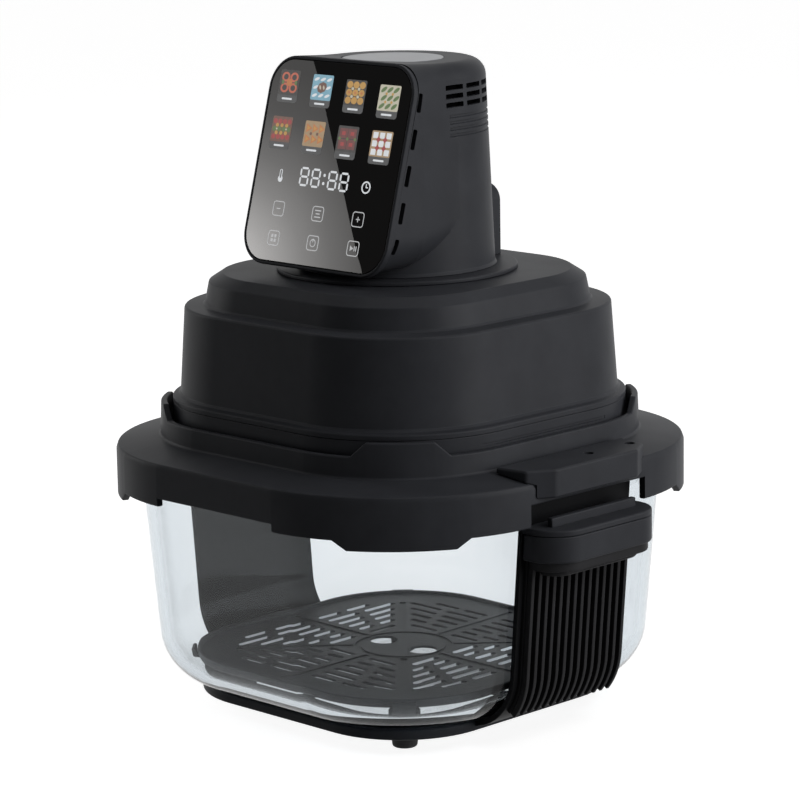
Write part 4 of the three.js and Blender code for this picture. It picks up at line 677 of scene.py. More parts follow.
# Handles. The corners of grip and cover are (inset from the outer faces, height, rounding), and those of the
# insert (inset, height, inset of the back).
handle = {
    "reach": 149.5, "half": 41, "corner": 18, "leastCorner": 0.4, "gripGap": 0.3,
    "grip": ((6, 104.3, 0), (0, 104.3, 1.4), (0, 118, 0.7), (6, 118, 0)),
    "cover": ((6, 118.3, 0), (0, 118.3, 0.4), (0, 121.3, 1.0), (6, 121.3, 0)), "coverBack": 125.4,
    "ridgeThick": 3.4, "ridgeLength": 63, "ridgeMiddle": 135.5, "ridgeLow": 120.3, "ridgeTop": 125.9,
    "ridgeEdge": 0.7, "insertBack": 130.5,
    "insert": ((2, 104.0, 0), (2, 100.4, 0), (2.25, 99.85, 0), (2.8, 99.6, 0), (8, 99.6, 0), (8, 96.7, 0),
               (8.5, 96.2, 0), (10.2, 96.2, 2.2), (10.2, 102.7, 2.2)),
    "screw": (2.5, 1.8, 1.5, 15.4), "screwPlace": (136.2, 0, 100.6),
}
# The head's dome and the arms of its cross recess, as shares of its height and radius
crossHead = {"dome": 0.5, "crossLong": 1.1, "crossWide": 0.26, "crossDeep": 0.55, "steps": 28}


# The plan of a handle, inset from its outer faces.
def handlePlan(inset, back, z):
    reach = handle["reach"] - inset
    half = handle["half"] - inset
    radius = max(min(handle["corner"] - inset, reach - back), handle["leastCorner"])
    plan = [(back, -half)]
    plan += arc(reach - radius, radius - half, radius, -1, 1, steps=12)
    plan += arc(reach - radius, half - radius, radius, 0, 1, steps=12)
    return [(x, y, z) for x, y in plan + [(back, half)]]


def panelReach(z):
    return bowlSide(cradle["panel"] + handle["gripGap"], 0, z)[-1][0]


def screwHead(name, radius, height, shank, length, at):
    size = crossHead
    head = turnedPiece(name, eased([(0, 0, 0), (radius, 0, height * size["dome"]), (radius, height, 0.1),
                                    (shank, height, 0), (shank, length, 0.2), (0, length, 0)], steps=4),
                       steps=size["steps"])
    long, wide = radius * size["crossLong"], radius * size["crossWide"]
    for width, depth in ((long, wide), (wide, long)):
        carve(head, prism("cross", oblong(width, depth), -1, height * size["crossDeep"]))
    head.data.transform(at)
    return smooth(head)


def addHandles():
    size = handle
    for name, turn in sides:
        grip = skinPiece("grip", [handlePlan(inset, panelReach(z), z) for inset, z in eased(size["grip"], steps=5)])
        cover = skinPiece("cover", [handlePlan(inset, size["coverBack"], z)
                                    for inset, z in eased(size["cover"], steps=5)])
        ridge = prism("ridge", oblong(size["ridgeThick"], size["ridgeLength"], size["ridgeMiddle"]),
                      size["ridgeLow"], size["ridgeTop"], size["ridgeEdge"])
        cover = joinPieces("cover", [cover, ridge])
        insert = skinPiece("insert", [handlePlan(inset, size["insertBack"] + back, z)
                                      for inset, z, back in size["insert"]])
        screw = screwHead("screw", *size["screw"], placedAt(*size["screwPlace"]))
        for piece, kind, slotName in ((grip, "grip", "black_plastic"), (cover, "cover", "black_plastic"),
                                      (insert, "insert", "dark_plastic"), (screw, "screw", "steel")):
            piece.data.transform(turnedAbout(turn))
            piece.name = "moulded_" + kind + "_" + name
            show(smooth(piece), slotName, "cradle", "handle_" + kind + "_" + name)


addHandles()
print("handles made")

# Crisper plate: a sheet with a rim, rows of slots in each quarter, grooves and two finger holes.
# The margins of a row are counted from the plate's axis and from its diagonal.
plate = {
    "profile": ((83.5, 27, 0), (95.5, 27, 1.4), (95.5, 31.5, 0.7), (93.1, 31.5, 0.7), (91.7, 30, 1.2), (83.5, 30, 0)),
    "flat": 35, "top": 30, "underHalf": 91.5, "underLow": 26, "sheetLow": 28.7, "cutLow": 24, "cutHigh": 33,
    "slotWidth": 3.6, "firstRow": 31.5, "rowPitch": 8.3, "rows": 6, "axisMargin": 5.6, "cornerMargin": 6.5,
    "slotLimit": 81.5, "lastRowEnd": 46, "bridge": 4.5, "longest": 27, "grooveWidth": 3.4, "grooveDepth": 0.7,
    "grooveStart": 27, "grooveEnd": 88, "grooves": 8, "ringGroove": 24.6, "holeRadius": 7.8, "holeOffset": 14.7,
}
# Which faces of the plate get the pale cut-edge colour: large slot walls that face left or right, clear of the rim and
# of the holes. These walls catch the right lamp, so the pale colour is partly a bare edge and partly painted highlight.
bare = {"within": 87.5, "holeMargin": 0.2, "facing": 0.9, "heightMargin": 0.1, "area": 6}


def slotPrism(distance, start, end):
    radius = plate["slotWidth"] / 2
    outline = arc(distance, end - radius, radius, 0, 2, steps=6)
    outline += arc(distance, start + radius, radius, 2, 2, steps=6)
    return prism("slot", outline, plate["cutLow"], plate["cutHigh"])


def addSlots(piece):
    size = plate
    slots = []
    for row in range(size["rows"]):
        distance = size["firstRow"] + row * size["rowPitch"]
        start = size["axisMargin"]
        end = min(distance, size["slotLimit"]) - size["cornerMargin"]
        if row == size["rows"] - 1:
            end = size["lastRowEnd"]
        spans = [(start, end)]
        if end - start > size["longest"]:
            middle = (start + end) / 2
            spans = [(start, middle - size["bridge"] / 2), (middle + size["bridge"] / 2, end)]
        for a, b in spans:
            slots += [slotPrism(distance, a, b), slotPrism(distance, -b, -a)]
    carve(piece, spreadCopies(joinPieces("slots", slots), 4, turn=90))


def markBareAndLitEdges(piece):
    piece.data.materials.append(finishes["bare_edge_and_highlight"])
    middle = (plate["sheetLow"] + plate["top"]) / 2
    for face in piece.data.polygons:
        spot = face.center / mm
        fromHole = math.hypot(abs(spot.x) - plate["holeOffset"], spot.y) - plate["holeRadius"]
        if (max(abs(spot.x), abs(spot.y)) < bare["within"] and fromHole >= bare["holeMargin"]
                and abs(face.normal.x) > bare["facing"] and abs(spot.z - middle) < bare["heightMargin"]
                and face.area > bare["area"] * mm * mm):
            face.material_index = 1


def addPlate():
    size = plate
    piece = squarePiece("crisper_tray", [(half, z, size["flat"]) for half, z in eased(size["profile"], steps=5)])
    carve(piece, squarePiece("under", [(size["underHalf"], z, size["flat"])
                                       for z in (size["underLow"], size["sheetLow"])]))
    addSlots(piece)
    floor = size["top"] - size["grooveDepth"]
    span = size["grooveEnd"] - size["grooveStart"]
    groove = prism("groove", oblong(span, size["grooveWidth"], size["grooveStart"] + span / 2), floor,
                   size["cutHigh"])
    carve(piece, spreadCopies(groove, size["grooves"], turn=360 / size["grooves"]))
    inner, outer = (size["ringGroove"] + side * size["grooveWidth"] / 2 for side in (-1, 1))
    carve(piece, turnedPiece("ring groove", [(inner, floor), (outer, floor), (outer, size["cutHigh"]),
                                             (inner, size["cutHigh"])], looped=True))
    for side in (-1, 1):
        carve(piece, rodPiece("finger hole", size["holeRadius"], size["cutLow"], size["cutHigh"], steps=40,
                              at=placedAt(side * size["holeOffset"], 0)))
    markBareAndLitEdges(show(smooth(piece), "coated_metal", "tray", "crisper_plate"))


addPlate()

# Bumpers on the plate's corners
bumper = {
    "width": 12, "edge": 0.5, "edgeLimit": 60, "smoothing": 40,
    "profile": ((90.5, 20.1, 1.5), (99.5, 20.1, 1.5), (99.5, 24.7, 0.8), (113.3, 24.7, 1.4), (113.3, 31.0, 1.0),
                (110.8, 31.0, 1.0), (110.8, 26.7, 0.3), (90.5, 26.7, 0.5)),
}


def addBumpers():
    size = bumper
    for corner, name in enumerate(cornerNames):
        piece = barPiece("bumper_clip_" + name, eased(size["profile"], steps=4, closed=True), -size["width"] / 2,
                         size["width"] / 2)
        softenEdges(piece, size["edge"], segments=2, limit=size["edgeLimit"])
        piece.data.transform(cornerTurn(corner))
        show(smooth(piece, size["smoothing"]), "silicone", "tray", "plate_bumper_" + name)


addBumpers()
print("crisper plate made")

# Adapter ring. The heights of its lower and upper edge change round the ring, so its profile, with the flat of
# each corner as a fourth number, has 100 in the place of the lower edge and 180 in that of the upper.
ring = {
    "flat": 38.5, "skirt": 133.65, "bottom": 122.3, "tabBottom": 117.4, "tabHalf": 27.3, "tabShoulder": 34.5,
    "tabEase": 1.2, "frontCut": 126.4, "sideCut": 133.7, "cutHalf": 42.8, "wall": 109.5, "wallLow": 159.1,
    "postTop": 166.4, "postHalf": 17.2, "postShoulder": 25.2, "postEase": 1.5, "stationStep": 3,
    "closest": 0.0003, "cutStep": 0.0004, "lowMark": 100, "highMark": 180, "markReach": 10,
    "profile": (
        (133.65, 100, 0.9, 38.5), (133.65, 103, 0, 38.5), (133.65, 141.5, 0, 38.5), (132.65, 144.4, 1.2, 38.5),
        (110.2, 148.3, 1.6, 38.5), (109.5, 180, 0.9, 38.5), (106.3, 180, 0.7, 38.5), (106.3, 151.0, 0.4, 38.5),
        (97, 151.0, 0.8, 38.5), (97, 147.5, 0.5, 38.5), (113.2, 145.3, 0, 36), (113.2, 131.0, 0.6, 36),
        (116.2, 131.0, 0.6, 36), (116.2, 142.3, 0, 36), (130, 141.6, 1.5, 38.5), (130, 100, 0.6, 38.5),
    ),
}


# Heights along half of one corner, from its diagonal outwards, as (angle from the diagonal, height).
def cornerHeights(reach, steps):
    radius = reach - ring["flat"]
    corners = [(radius * math.asin(min(across / radius, 1)), z, ease) for across, z, ease in steps]
    corners.append((radius * quarter / 2, corners[-1][1], 0))
    return [(s / radius, z) for s, z in eased(corners, steps=4)]


def heightAt(heights, turn):
    turn = abs(turn)
    for (a, low), (b, high) in zip(heights, heights[1:]):
        if a <= turn <= b:
            return low + (high - low) * (turn - a) / (b - a) if b > a else high
    return heights[-1][1]


# Where the ring's sections stand, as (corner, turn, height of the upper edge, height of the lower edge).
def ringStations():
    size = ring
    wallTop = cornerHeights(size["wall"], [(0, size["postTop"], 0),
                                           (size["postHalf"], size["postTop"], size["postEase"]),
                                           (size["postShoulder"], size["wallLow"], size["postEase"])])
    tab = cornerHeights(size["skirt"], [(0, size["tabBottom"], 0),
                                        (size["tabHalf"], size["tabBottom"], size["tabEase"]),
                                        (size["tabShoulder"], size["bottom"], size["tabEase"])])
    edge = math.acos((size["cutHalf"] - size["flat"]) / (size["skirt"] - size["flat"])) - quarter / 2
    tab = [(turn, z) for turn, z in tab if turn < edge]
    bottoms = {side: tab + [(edge, size["bottom"]), (edge + size["cutStep"], high), (quarter, high)]
               for side, high in (("x", size["sideCut"]), ("y", size["frontCut"]))}
    turns = {0.0, quarter / 2} | {math.radians(t) for t in range(size["stationStep"], 45, size["stationStep"])}
    turns |= {turn for turn, z in wallTop + bottoms["x"] if turn <= quarter / 2}
    kept = [0.0]
    for turn in sorted(turns)[1:]:
        if turn - kept[-1] > size["closest"]:
            kept.append(turn)
    stations = []
    for corner in range(4):
        for turn in [-t for t in kept[::-1]] + kept[1:]:
            side = "x" if (turn < 0) == (corner % 2 == 0) else "y"
            stations.append((corner, quarter * (corner + 0.5) + turn, heightAt(wallTop, turn),
                             heightAt(bottoms[side], turn)))
    return stations


def addRing():
    size = ring
    stations = ringStations()
    rings = []
    for half, z, flat in eased(size["profile"], steps=4, closed=True):
        points = []
        for corner, turn, high, low in stations:
            across, along = cornerSigns[corner]
            level = z
            if z > size["highMark"] - size["markReach"]:
                level = z - size["highMark"] + high
            elif z < size["lowMark"] + size["markReach"]:
                level = z - size["lowMark"] + low
            points.append((across * flat + (half - flat) * math.cos(turn),
                           along * flat + (half - flat) * math.sin(turn), level))
        rings.append(points)
    show(smooth(skinPiece("moulded_ring", rings, True)), "black_plastic", "ring", "adapter_ring")


addRing()
print("ring made")

# Lift blocks with their sunk screws
block = {
    "plan": ((139.5, -30.5), (139.5, 30.5), (131.5, 44), (113.5, 47), (113.5, -47), (131.5, -44)),
    "low": 136.5, "top": 151.0, "edge": 1.3, "underHalf": 60,
    "under": ((134.3, 134.5), (134.3, 143.8), (132.3, 145), (111.5, 149.0), (111.5, 134.5)),
    "holeReach": 126, "holes": (8, 39.5), "holeRadius": 2.8, "holeFloor": 148.4, "holeTop": 154,
    "screw": (2.4, 1.0, 1.3, 5), "screwTop": 149.7,
}


def addBlocks():
    size = block
    for name, turn in sides:
        piece = prism("moulded_block_" + name, size["plan"], size["low"], size["top"], size["edge"], segments=4)
        carve(piece, barPiece("under", size["under"], -size["underHalf"], size["underHalf"]))
        for place in size["holes"]:
            carve(piece, rodPiece("hole", size["holeRadius"], size["holeFloor"], size["holeTop"],
                                  steps=32, at=placedAt(size["holeReach"], place)))
        piece.data.transform(turnedAbout(turn))
        show(smooth(piece), "black_plastic", "ring", "lift_block_" + name)
        for index, place in enumerate(size["holes"]):
            label = name + "_" + str(index + 1)
            over = placedAt(size["holeReach"], place, size["screwTop"])
            screw = screwHead("screw_of_block_" + label, *size["screw"],
                              turnedAbout(turn) @ over @ Matrix.Rotation(math.pi, 4, "X"))
            show(screw, "dark_steel", "ring", "lift_block_screw_" + label)


addBlocks()
print("lift blocks made")

# Dome: base collar with a shallow recess at each side, and the shell of two tiers. The shell's corners have the
# flat of the rounded square as a fourth number.
dome = {
    "flat": 34.5, "recessHalf": 46, "recessLow": 159.9, "recessTop": 161.6, "recessDepth": 3.2,
    "recessMiddle": 105.0, "bore": 42, "boreLow": 225, "boreTop": 240,
    "collar": ((104.6, 151.3, 1.0), (104.6, 166.2, 0.5), (101.6, 166.2, 0.3), (101.6, 155.5, 0), (93.5, 155.5, 0.3),
               (93.5, 153.3, 0.3), (98.5, 153.3, 0), (98.5, 151.3, 0.5)),
    "outer": ((104.8, 166.5, 0.2, 34.5), (104.8, 169.0, 1.0, 34.5), (101.8, 169.9, 0.8, 34.5),
              (100.6, 171.2, 0.8, 34.5), (97.4, 216.4, 1.6, 34.5), (88.9, 217.0, 1.2, 31), (88.0, 218.3, 0.9, 31),
              (85.8, 228.9, 1.6, 31), (80.3, 233.6, 1.6, 27), (60, 234.0, 0, 27)),
    "inner": ((97.6, 160, 0, 34.5), (97.6, 171, 0.5, 34.5), (94.6, 213.4, 1.5, 34.5), (85.2, 214.0, 1, 31),
              (82.9, 227, 1.5, 31), (77, 231.0, 2, 27), (60, 231.0, 0, 27)),
}
disc = {"profile": ((47, 234.3, 0), (63, 234.3, 0.2), (63, 236.3, 0.8), (47, 236.3, 0.2)), "steps": 128}


def addDome():
    size = dome
    rows = [(half, z, size["flat"]) for half, z in eased(size["collar"], steps=4, closed=True)]
    collar = squarePiece("dome_collar", rows, looped=True, steps=24)
    for side in (-1, 1):
        carve(collar, prism("recess", oblong(size["recessDepth"], 2 * size["recessHalf"], side * size["recessMiddle"]),
                            size["recessLow"], size["recessTop"]))
    show(smooth(collar), "black_plastic", "pod", "dome_base")
    shell = squarePiece("dome_housing", eased(size["outer"], steps=5), steps=24)
    carve(shell, squarePiece("dome hollow", eased(size["inner"], steps=4), steps=24),
          rodPiece("bore", size["bore"], size["boreLow"], size["boreTop"], steps=96))
    show(smooth(shell), "black_plastic", "pod", "dome_shell")


def addDisc():
    plinth = turnedPiece("neck_plinth", eased(disc["profile"], steps=4, closed=True), looped=True, steps=disc["steps"])
    show(smooth(plinth), "black_plastic", "pod", "neck_disc")


addDome()
addDisc()
print("dome made")

# Head: neck, hood and inlet housing as one hollow shell. Side slots are (up, behind the front, length) on the display's
# own axes, and the corners of the near-black wall behind the vents, which paints the shade inside them, are (radius,
# height).
head = {
    "seat": 236.6, "foot": 52.2, "low": 51.3, "lowAt": 238.2, "lowEase": 1.5, "top": 47.5, "topAt": 333.6,
    "mostTaper": 1.1, "shoulder": 9.1, "height": 343.5, "wall": 2.8, "hoodLow": 241.0, "hoodTop": 345.17,
    "hoodLowHalf": 52.4, "hoodTopHalf": 52.8, "lowCorner": 19, "topCorner": 16.5, "backLow": 245.2,
    "backCorner": 20, "backLowAt": 268.6, "backTopAt": 334.4, "hidden": 0.05, "hoodLength": 34, "hoodReach": 80,
    "hoodSteps": 16, "hoodBend": 0.5, "cornerSteps": 10, "ventColumns": 11, "ventFirst": -5.8, "ventWidth": 13.2,
    "ventHeight": 2.6, "ventReach": 8, "ventEdge": 0.5, "ventRows": (331.6, 327.2, 322.8),
    "grooves": (317.0, 313.8, 310.6, 307.4),
    "grooveHigh": 1.7, "grooveDepth": 0.9, "grooveEnd": 10.8, "grooveOut": 2, "grooveSoft": 0.25,
    "grooveFloor": 0.7, "grooveTip": 0.02, "grooveSteps": 80, "tipSteps": 5,
    "sideSlots": ((36.5, 5.2, 9.8), (17.9, 5.5, 10.4), (-0.6, 5.9, 10.8), (-19.5, 6.3, 11.0), (-36.6, 6.6, 8.0)),
    "slotWidth": 3.0, "slotEdge": 0.9, "housingHalf": 22, "housingReach": 57, "housingTop": 274.0,
    "housingCorner": 9, "housingStart": 25, "housingSink": 4,
    "housingBevel": ((2.0, 0), (1.2, 0.25), (0.5, 0.8), (0, 2.0)), "cutAcross": (-90, 90), "cutTop": 160,
    "recessRadius": 26.8, "recessLow": 341.5, "recessTop": 352, "inlet": (13.8, 10.3, 2), "inletAt": 253.6,
    "inletFrom": 37, "inletTo": 60, "smoothing": 28, "shadeWallFrom": -15.5, "shadeWallTo": 195.5, "shadeWallSteps": 60,
    "shadeWall": ((42.4, 317.4), (44.2, 317.4), (43.9, 338.6), (42.4, 338.6)),
}
display = {
    "halfWidth": 52.8, "halfHeight": 54.5, "corner": 17, "lean": 15.4, "reach": 49.4, "middle": 292.85,
    "depth": 3.2, "backGap": 0.2,
    "bezel": ((0, -3.2, 0.3), (0, 0, 0.8), (1.6, 0, 0.3), (1.6, -2.1, 0), (5.2, -2.1, 0.3), (5.2, -3.2, 0.3)),
    "glass": ((12, -1.8, 0), (1.9, -1.8, 0.2), (1.9, 0, 0.35), (12, 0, 0)),
}
onDisplay = Matrix.Translation(Vector((0, -display["reach"], display["middle"])) * mm) @ Matrix.Rotation(
    quarter - math.radians(display["lean"]), 4, "X")


def neckRadius(z):
    if z < head["lowAt"]:
        share = (z - head["seat"]) / (head["lowAt"] - head["seat"])
        return head["foot"] + (head["low"] - head["foot"]) * share
    share = (z - head["lowAt"]) / (head["topAt"] - head["lowAt"])
    return head["low"] + (head["top"] - head["low"]) * min(share, head["mostTaper"])


def neckProfile(inset):
    low = head["seat"] - inset * 2
    top = head["height"] - inset
    return eased([
        (0, low, 0), (head["foot"] - inset, low, 0), (head["low"] - inset, head["lowAt"], head["lowEase"]),
        (neckRadius(top) - inset, top, head["shoulder"] - inset), (0, top, 0),
    ], steps=8)


# Half of a hood section, from the middle of its underside round to the middle of its top.
def hoodHalf(low, lowHalf, lowCorner, top, topHalf, topCorner):
    steps = head["cornerSteps"]
    start, end = low + lowCorner, top - topCorner
    points = arc(lowHalf - lowCorner, start, lowCorner, -1, 1, steps)
    for step in range(1, steps):
        share = step / steps
        points.append((lowHalf + (topHalf - lowHalf) * share, start + (end - start) * share))
    return points + arc(topHalf - topCorner, end, topCorner, 0, 1, steps)


# The hood from the middle of the neck to past the display: it widens slowly at first, then evenly.
def hoodPiece(name, inset):
    size = head
    hidden = size["hidden"] + inset
    bend = size["hoodBend"]
    back = hoodHalf(size["backLow"] + inset, neckRadius(size["backLowAt"]) - hidden, size["backCorner"] - inset,
                    size["height"] - inset, neckRadius(size["backTopAt"]) - hidden, size["shoulder"] - inset)
    front = hoodHalf(size["hoodLow"] + inset, size["hoodLowHalf"] - inset, size["lowCorner"] - inset,
                     size["hoodTop"] - inset, size["hoodTopHalf"] - inset, size["topCorner"] - inset)
    rings = []
    for step in range(size["hoodSteps"] + 1):
        share = step / size["hoodSteps"]
        blend = (share * share / (2 * bend) if share < bend else share - bend / 2) / (1 - bend / 2)
        half = [(a[0] + (b[0] - a[0]) * blend, a[1] + (b[1] - a[1]) * blend) for a, b in zip(back, front)]
        rings.append(mirroredRing(half, -size["hoodLength"] * share))
    return skinPiece(name, rings + [mirroredRing(half, -size["hoodReach"])])


def housingPiece(name, inset):
    size = head
    half, top, reach, radius = (size[key] - inset for key in ("housingHalf", "housingTop", "housingReach",
                                                              "housingCorner"))
    low = size["seat"] - (size["housingSink"] if inset else 0)
    rings = []
    for y, shrink in [(size["housingStart"], 0)] + [(reach - back, shrink) for back, shrink in size["housingBevel"]]:
        corner = arc(half - radius, top - radius, radius - shrink, 0, 1, steps=8)
        rings.append(mirroredRing([(half - shrink, low)] + corner, y))
    return skinPiece(name, rings)


def boxTool(name, x, y, z, at=None, edge=0):
    outline = oblong(x[1] - x[0], y[1] - y[0], (x[0] + x[1]) / 2, (y[0] + y[1]) / 2)
    return prism(name, outline, z[0], z[1], edge, at)


def around(middle, width):
    return middle - width / 2, middle + width / 2


def ventTools():
    size = head
    vents = [boxTool("vent", around(size["top"], 2 * size["ventReach"]), around(0, size["ventWidth"]),
                     around(row, size["ventHeight"]), edge=size["ventEdge"]) for row in size["ventRows"]]
    pitch = (180 - 2 * size["ventFirst"]) / (size["ventColumns"] - 1)
    return spreadCopies(joinPieces("vents", vents), size["ventColumns"], firstTurn=size["ventFirst"], turn=pitch)


# A groove round the sides and the back of the neck, with round ends.
def grooveTool(row):
    size = head
    radius = neckRadius(row)
    inner, outer = radius - size["grooveDepth"], radius + size["grooveOut"]
    half = size["grooveHigh"] / 2
    end = quarter + math.radians(size["grooveEnd"])
    first = end - half / radius
    turns = []
    for step in range(size["tipSteps"]):
        bend = quarter * step / size["tipSteps"]
        turns.append((end - half / radius * (1 - math.cos(bend)), half * math.sin(bend) + size["grooveTip"]))
    tip = [(-turn, high) for turn, high in turns[::-1]]
    turns += [(first - 2 * first * step / size["grooveSteps"], half) for step in range(size["grooveSteps"] + 1)]
    rings = []
    for turn, high in (turns + tip)[::-1]:
        section = [(inner + size["grooveSoft"], -high), (outer, -high), (outer, high),
                   (inner + size["grooveSoft"], high), (inner, high * size["grooveFloor"]),
                   (inner, -high * size["grooveFloor"])]
        rings.append([(out * math.cos(quarter + turn), out * math.sin(quarter + turn), row + z)
                      for out, z in section])
    return skinPiece("groove", rings)


def addHead():
    size = head
    shell = turnedPiece("head_housing", neckProfile(0), steps=160)
    unite(shell, hoodPiece("hood", 0), housingPiece("housing", 0))
    across = size["cutAcross"]
    carve(shell, boxTool("front", across, across, (-display["depth"] - display["backGap"], size["cutTop"]), onDisplay))
    hollow = turnedPiece("hollow", neckProfile(size["wall"]), steps=96)
    unite(hollow, hoodPiece("hood hollow", size["wall"]), housingPiece("housing hollow", size["wall"]))
    carve(shell, hollow, ventTools())
    carve(shell, *[grooveTool(row) for row in size["grooves"]])
    carve(shell, *[boxTool("side slot", across, around(up, length), around(-behind, size["slotWidth"]), onDisplay,
                           size["slotEdge"]) for up, behind, length in size["sideSlots"]])
    carve(shell, rodPiece("insert recess", size["recessRadius"], size["recessLow"], size["recessTop"],
                          steps=96, at=placedAt(0, insert["shift"])))
    inlet = [(x, z + size["inletAt"]) for x, z, _ in oblongRing(*size["inlet"], 0, steps=8)]
    carve(shell, barPiece("inlet hole", inlet, size["inletFrom"], size["inletTo"]))
    show(smooth(shell, size["smoothing"]), "black_plastic", "pod", "head_shell")


# A near-black wall close behind the vents, so that no light passes through them: its black is painted shade of the
# head's inside.
def addVentShadeWall():
    size = head
    rings = []
    for step in range(size["shadeWallSteps"] + 1):
        turn = math.radians(size["shadeWallFrom"] + (size["shadeWallTo"] - size["shadeWallFrom"]) * step / size["shadeWallSteps"])
        rings.append([(r * math.cos(turn), r * math.sin(turn), z) for r, z in size["shadeWall"]])
    show(smooth(skinPiece("vent_painted_shade_wall", rings)), "black_plastic", "pod", "head_shell", finish=finishes["unlit"])


insert = {"profile": ((0, 341.7, 0), (26.5, 341.7, 0), (26.5, 343.7, 0.5), (0, 343.7, 0)), "shift": -1, "steps": 128}


def addTopInsert():
    piece = turnedPiece("top_plate", eased(insert["profile"], steps=4), steps=insert["steps"],
                        at=placedAt(0, insert["shift"]))
    show(smooth(piece), "grey_plastic", "pod", "top_insert")


addHead()
addVentShadeWall()
addTopInsert()
print("head made")


# Display: bezel, glass and the lit print on it. The corners of both profiles are (inset, height, rounding).
def oblongLoop(name, rows, looped):
    w, h, r = display["halfWidth"], display["halfHeight"], display["corner"]
    rings = [oblongRing(w - inset, h - inset, r - inset, z, steps=12) for inset, z in rows]
    return skinPiece(name, rings, looped, onDisplay)


def addDisplay():
    bezel = oblongLoop("display_frame", eased(display["bezel"], steps=5, closed=True), True)
    show(smooth(bezel), "black_plastic", "pod", "display_bezel")
    glass = oblongLoop("display_front", eased(display["glass"], steps=4), False)
    return show(smooth(glass), "black_glass", "pod", "display_glass")


displayFront = addDisplay()

# Lit print on the glass: picture tiles with plain patterns, clock digits, two signs and six keys, without words.
# Places are (x, y) on the display's own axes. The marks of a key are (width, height, across, upward).
printed = {
    "sunk": 0.1, "high": 0.05, "layer": 0.015, "lean": (0.0225, 0.0006), "lit": 0.75, "pictureLit": 0.58,
    "tileWidth": 14.7, "tileHeight": 17.0, "tileCorner": 1.5, "pictureHeight": 13.2, "pictureCorner": 0.8,
    "tileColumns": (-37.7, -13.2, 11.4, 35.9), "tileRows": (36.6, 12.7), "dash": (7.5, 1.0, 0.45),
    "digitPlace": (-14.85, -7.3), "digitWidth": 6.6, "digitHeight": 9.9, "digitPitch": 8.4, "pairPitch": 20.7,
    "stroke": 1.1, "gap": 0.32, "dot": 1.7, "dotRise": 2.1,
    "thermometer": (-32.3, -8.0), "stem": (2.0, 5.2, 0.95, 0.6), "bulb": (3.4, -1.8), "bore": (0.8, 4.2, 0.35, 0.7),
    "clock": (30.6, -9.1), "clockRadius": 3.2, "clockLine": 0.8, "handStroke": 0.6,
    "clockHands": (((0, -0.3), (0, 1.9)), ((-0.2, 0), (1.5, 0))),
    "keyColumns": (-29.6, -0.5, 28.8), "keyRows": (-25.4, -40.5), "keyWidth": 8.4, "keyHeight": 7.9,
    "keyCorner": 1.7, "keyLine": 0.5, "markCorner": 0.2,
    "marks": (
        ((2.8, 0.55, 0, 0),),
        ((4.4, 0.6, 0, 1.7), (3.0, 0.6, 0, 0), (4.4, 0.6, 0, -1.7)),
        ((2.8, 0.55, 0, 0), (0.55, 2.8, 0, 0)),
        ((1.6, 1.6, -1.15, -1.15), (1.6, 1.6, -1.15, 1.15), (1.6, 1.6, 1.15, -1.15), (1.6, 1.6, 1.15, 1.15)),
        ((0.5, 2.0, 0, 1.4),),
        ((0.6, 2.6, 1.0, 0), (0.6, 2.6, 2.2, 0)),
    ),
    "powerKey": 4, "powerRing": (4.2, 3.2), "playKey": 5, "playSize": 3.2, "playShift": -1.3,
}
glows = {
    "white": (0.82, 0.85, 0.88), "grey": (0.56, 0.57, 0.58), "label": (0.055, 0.055, 0.057),
    "night": (0.02, 0.014, 0.011), "golden": (0.72, 0.38, 0.06), "amber": (0.7, 0.22, 0.035),
    "maroon": (0.19, 0.03, 0.025), "coral": (0.72, 0.14, 0.06), "sand": (0.52, 0.34, 0.17),
    "red": (0.48, 0.03, 0.03), "cream": (0.75, 0.7, 0.54), "leaf": (0.12, 0.22, 0.045),
    "sky": (0.26, 0.56, 0.72), "bark": (0.2, 0.08, 0.045),
}
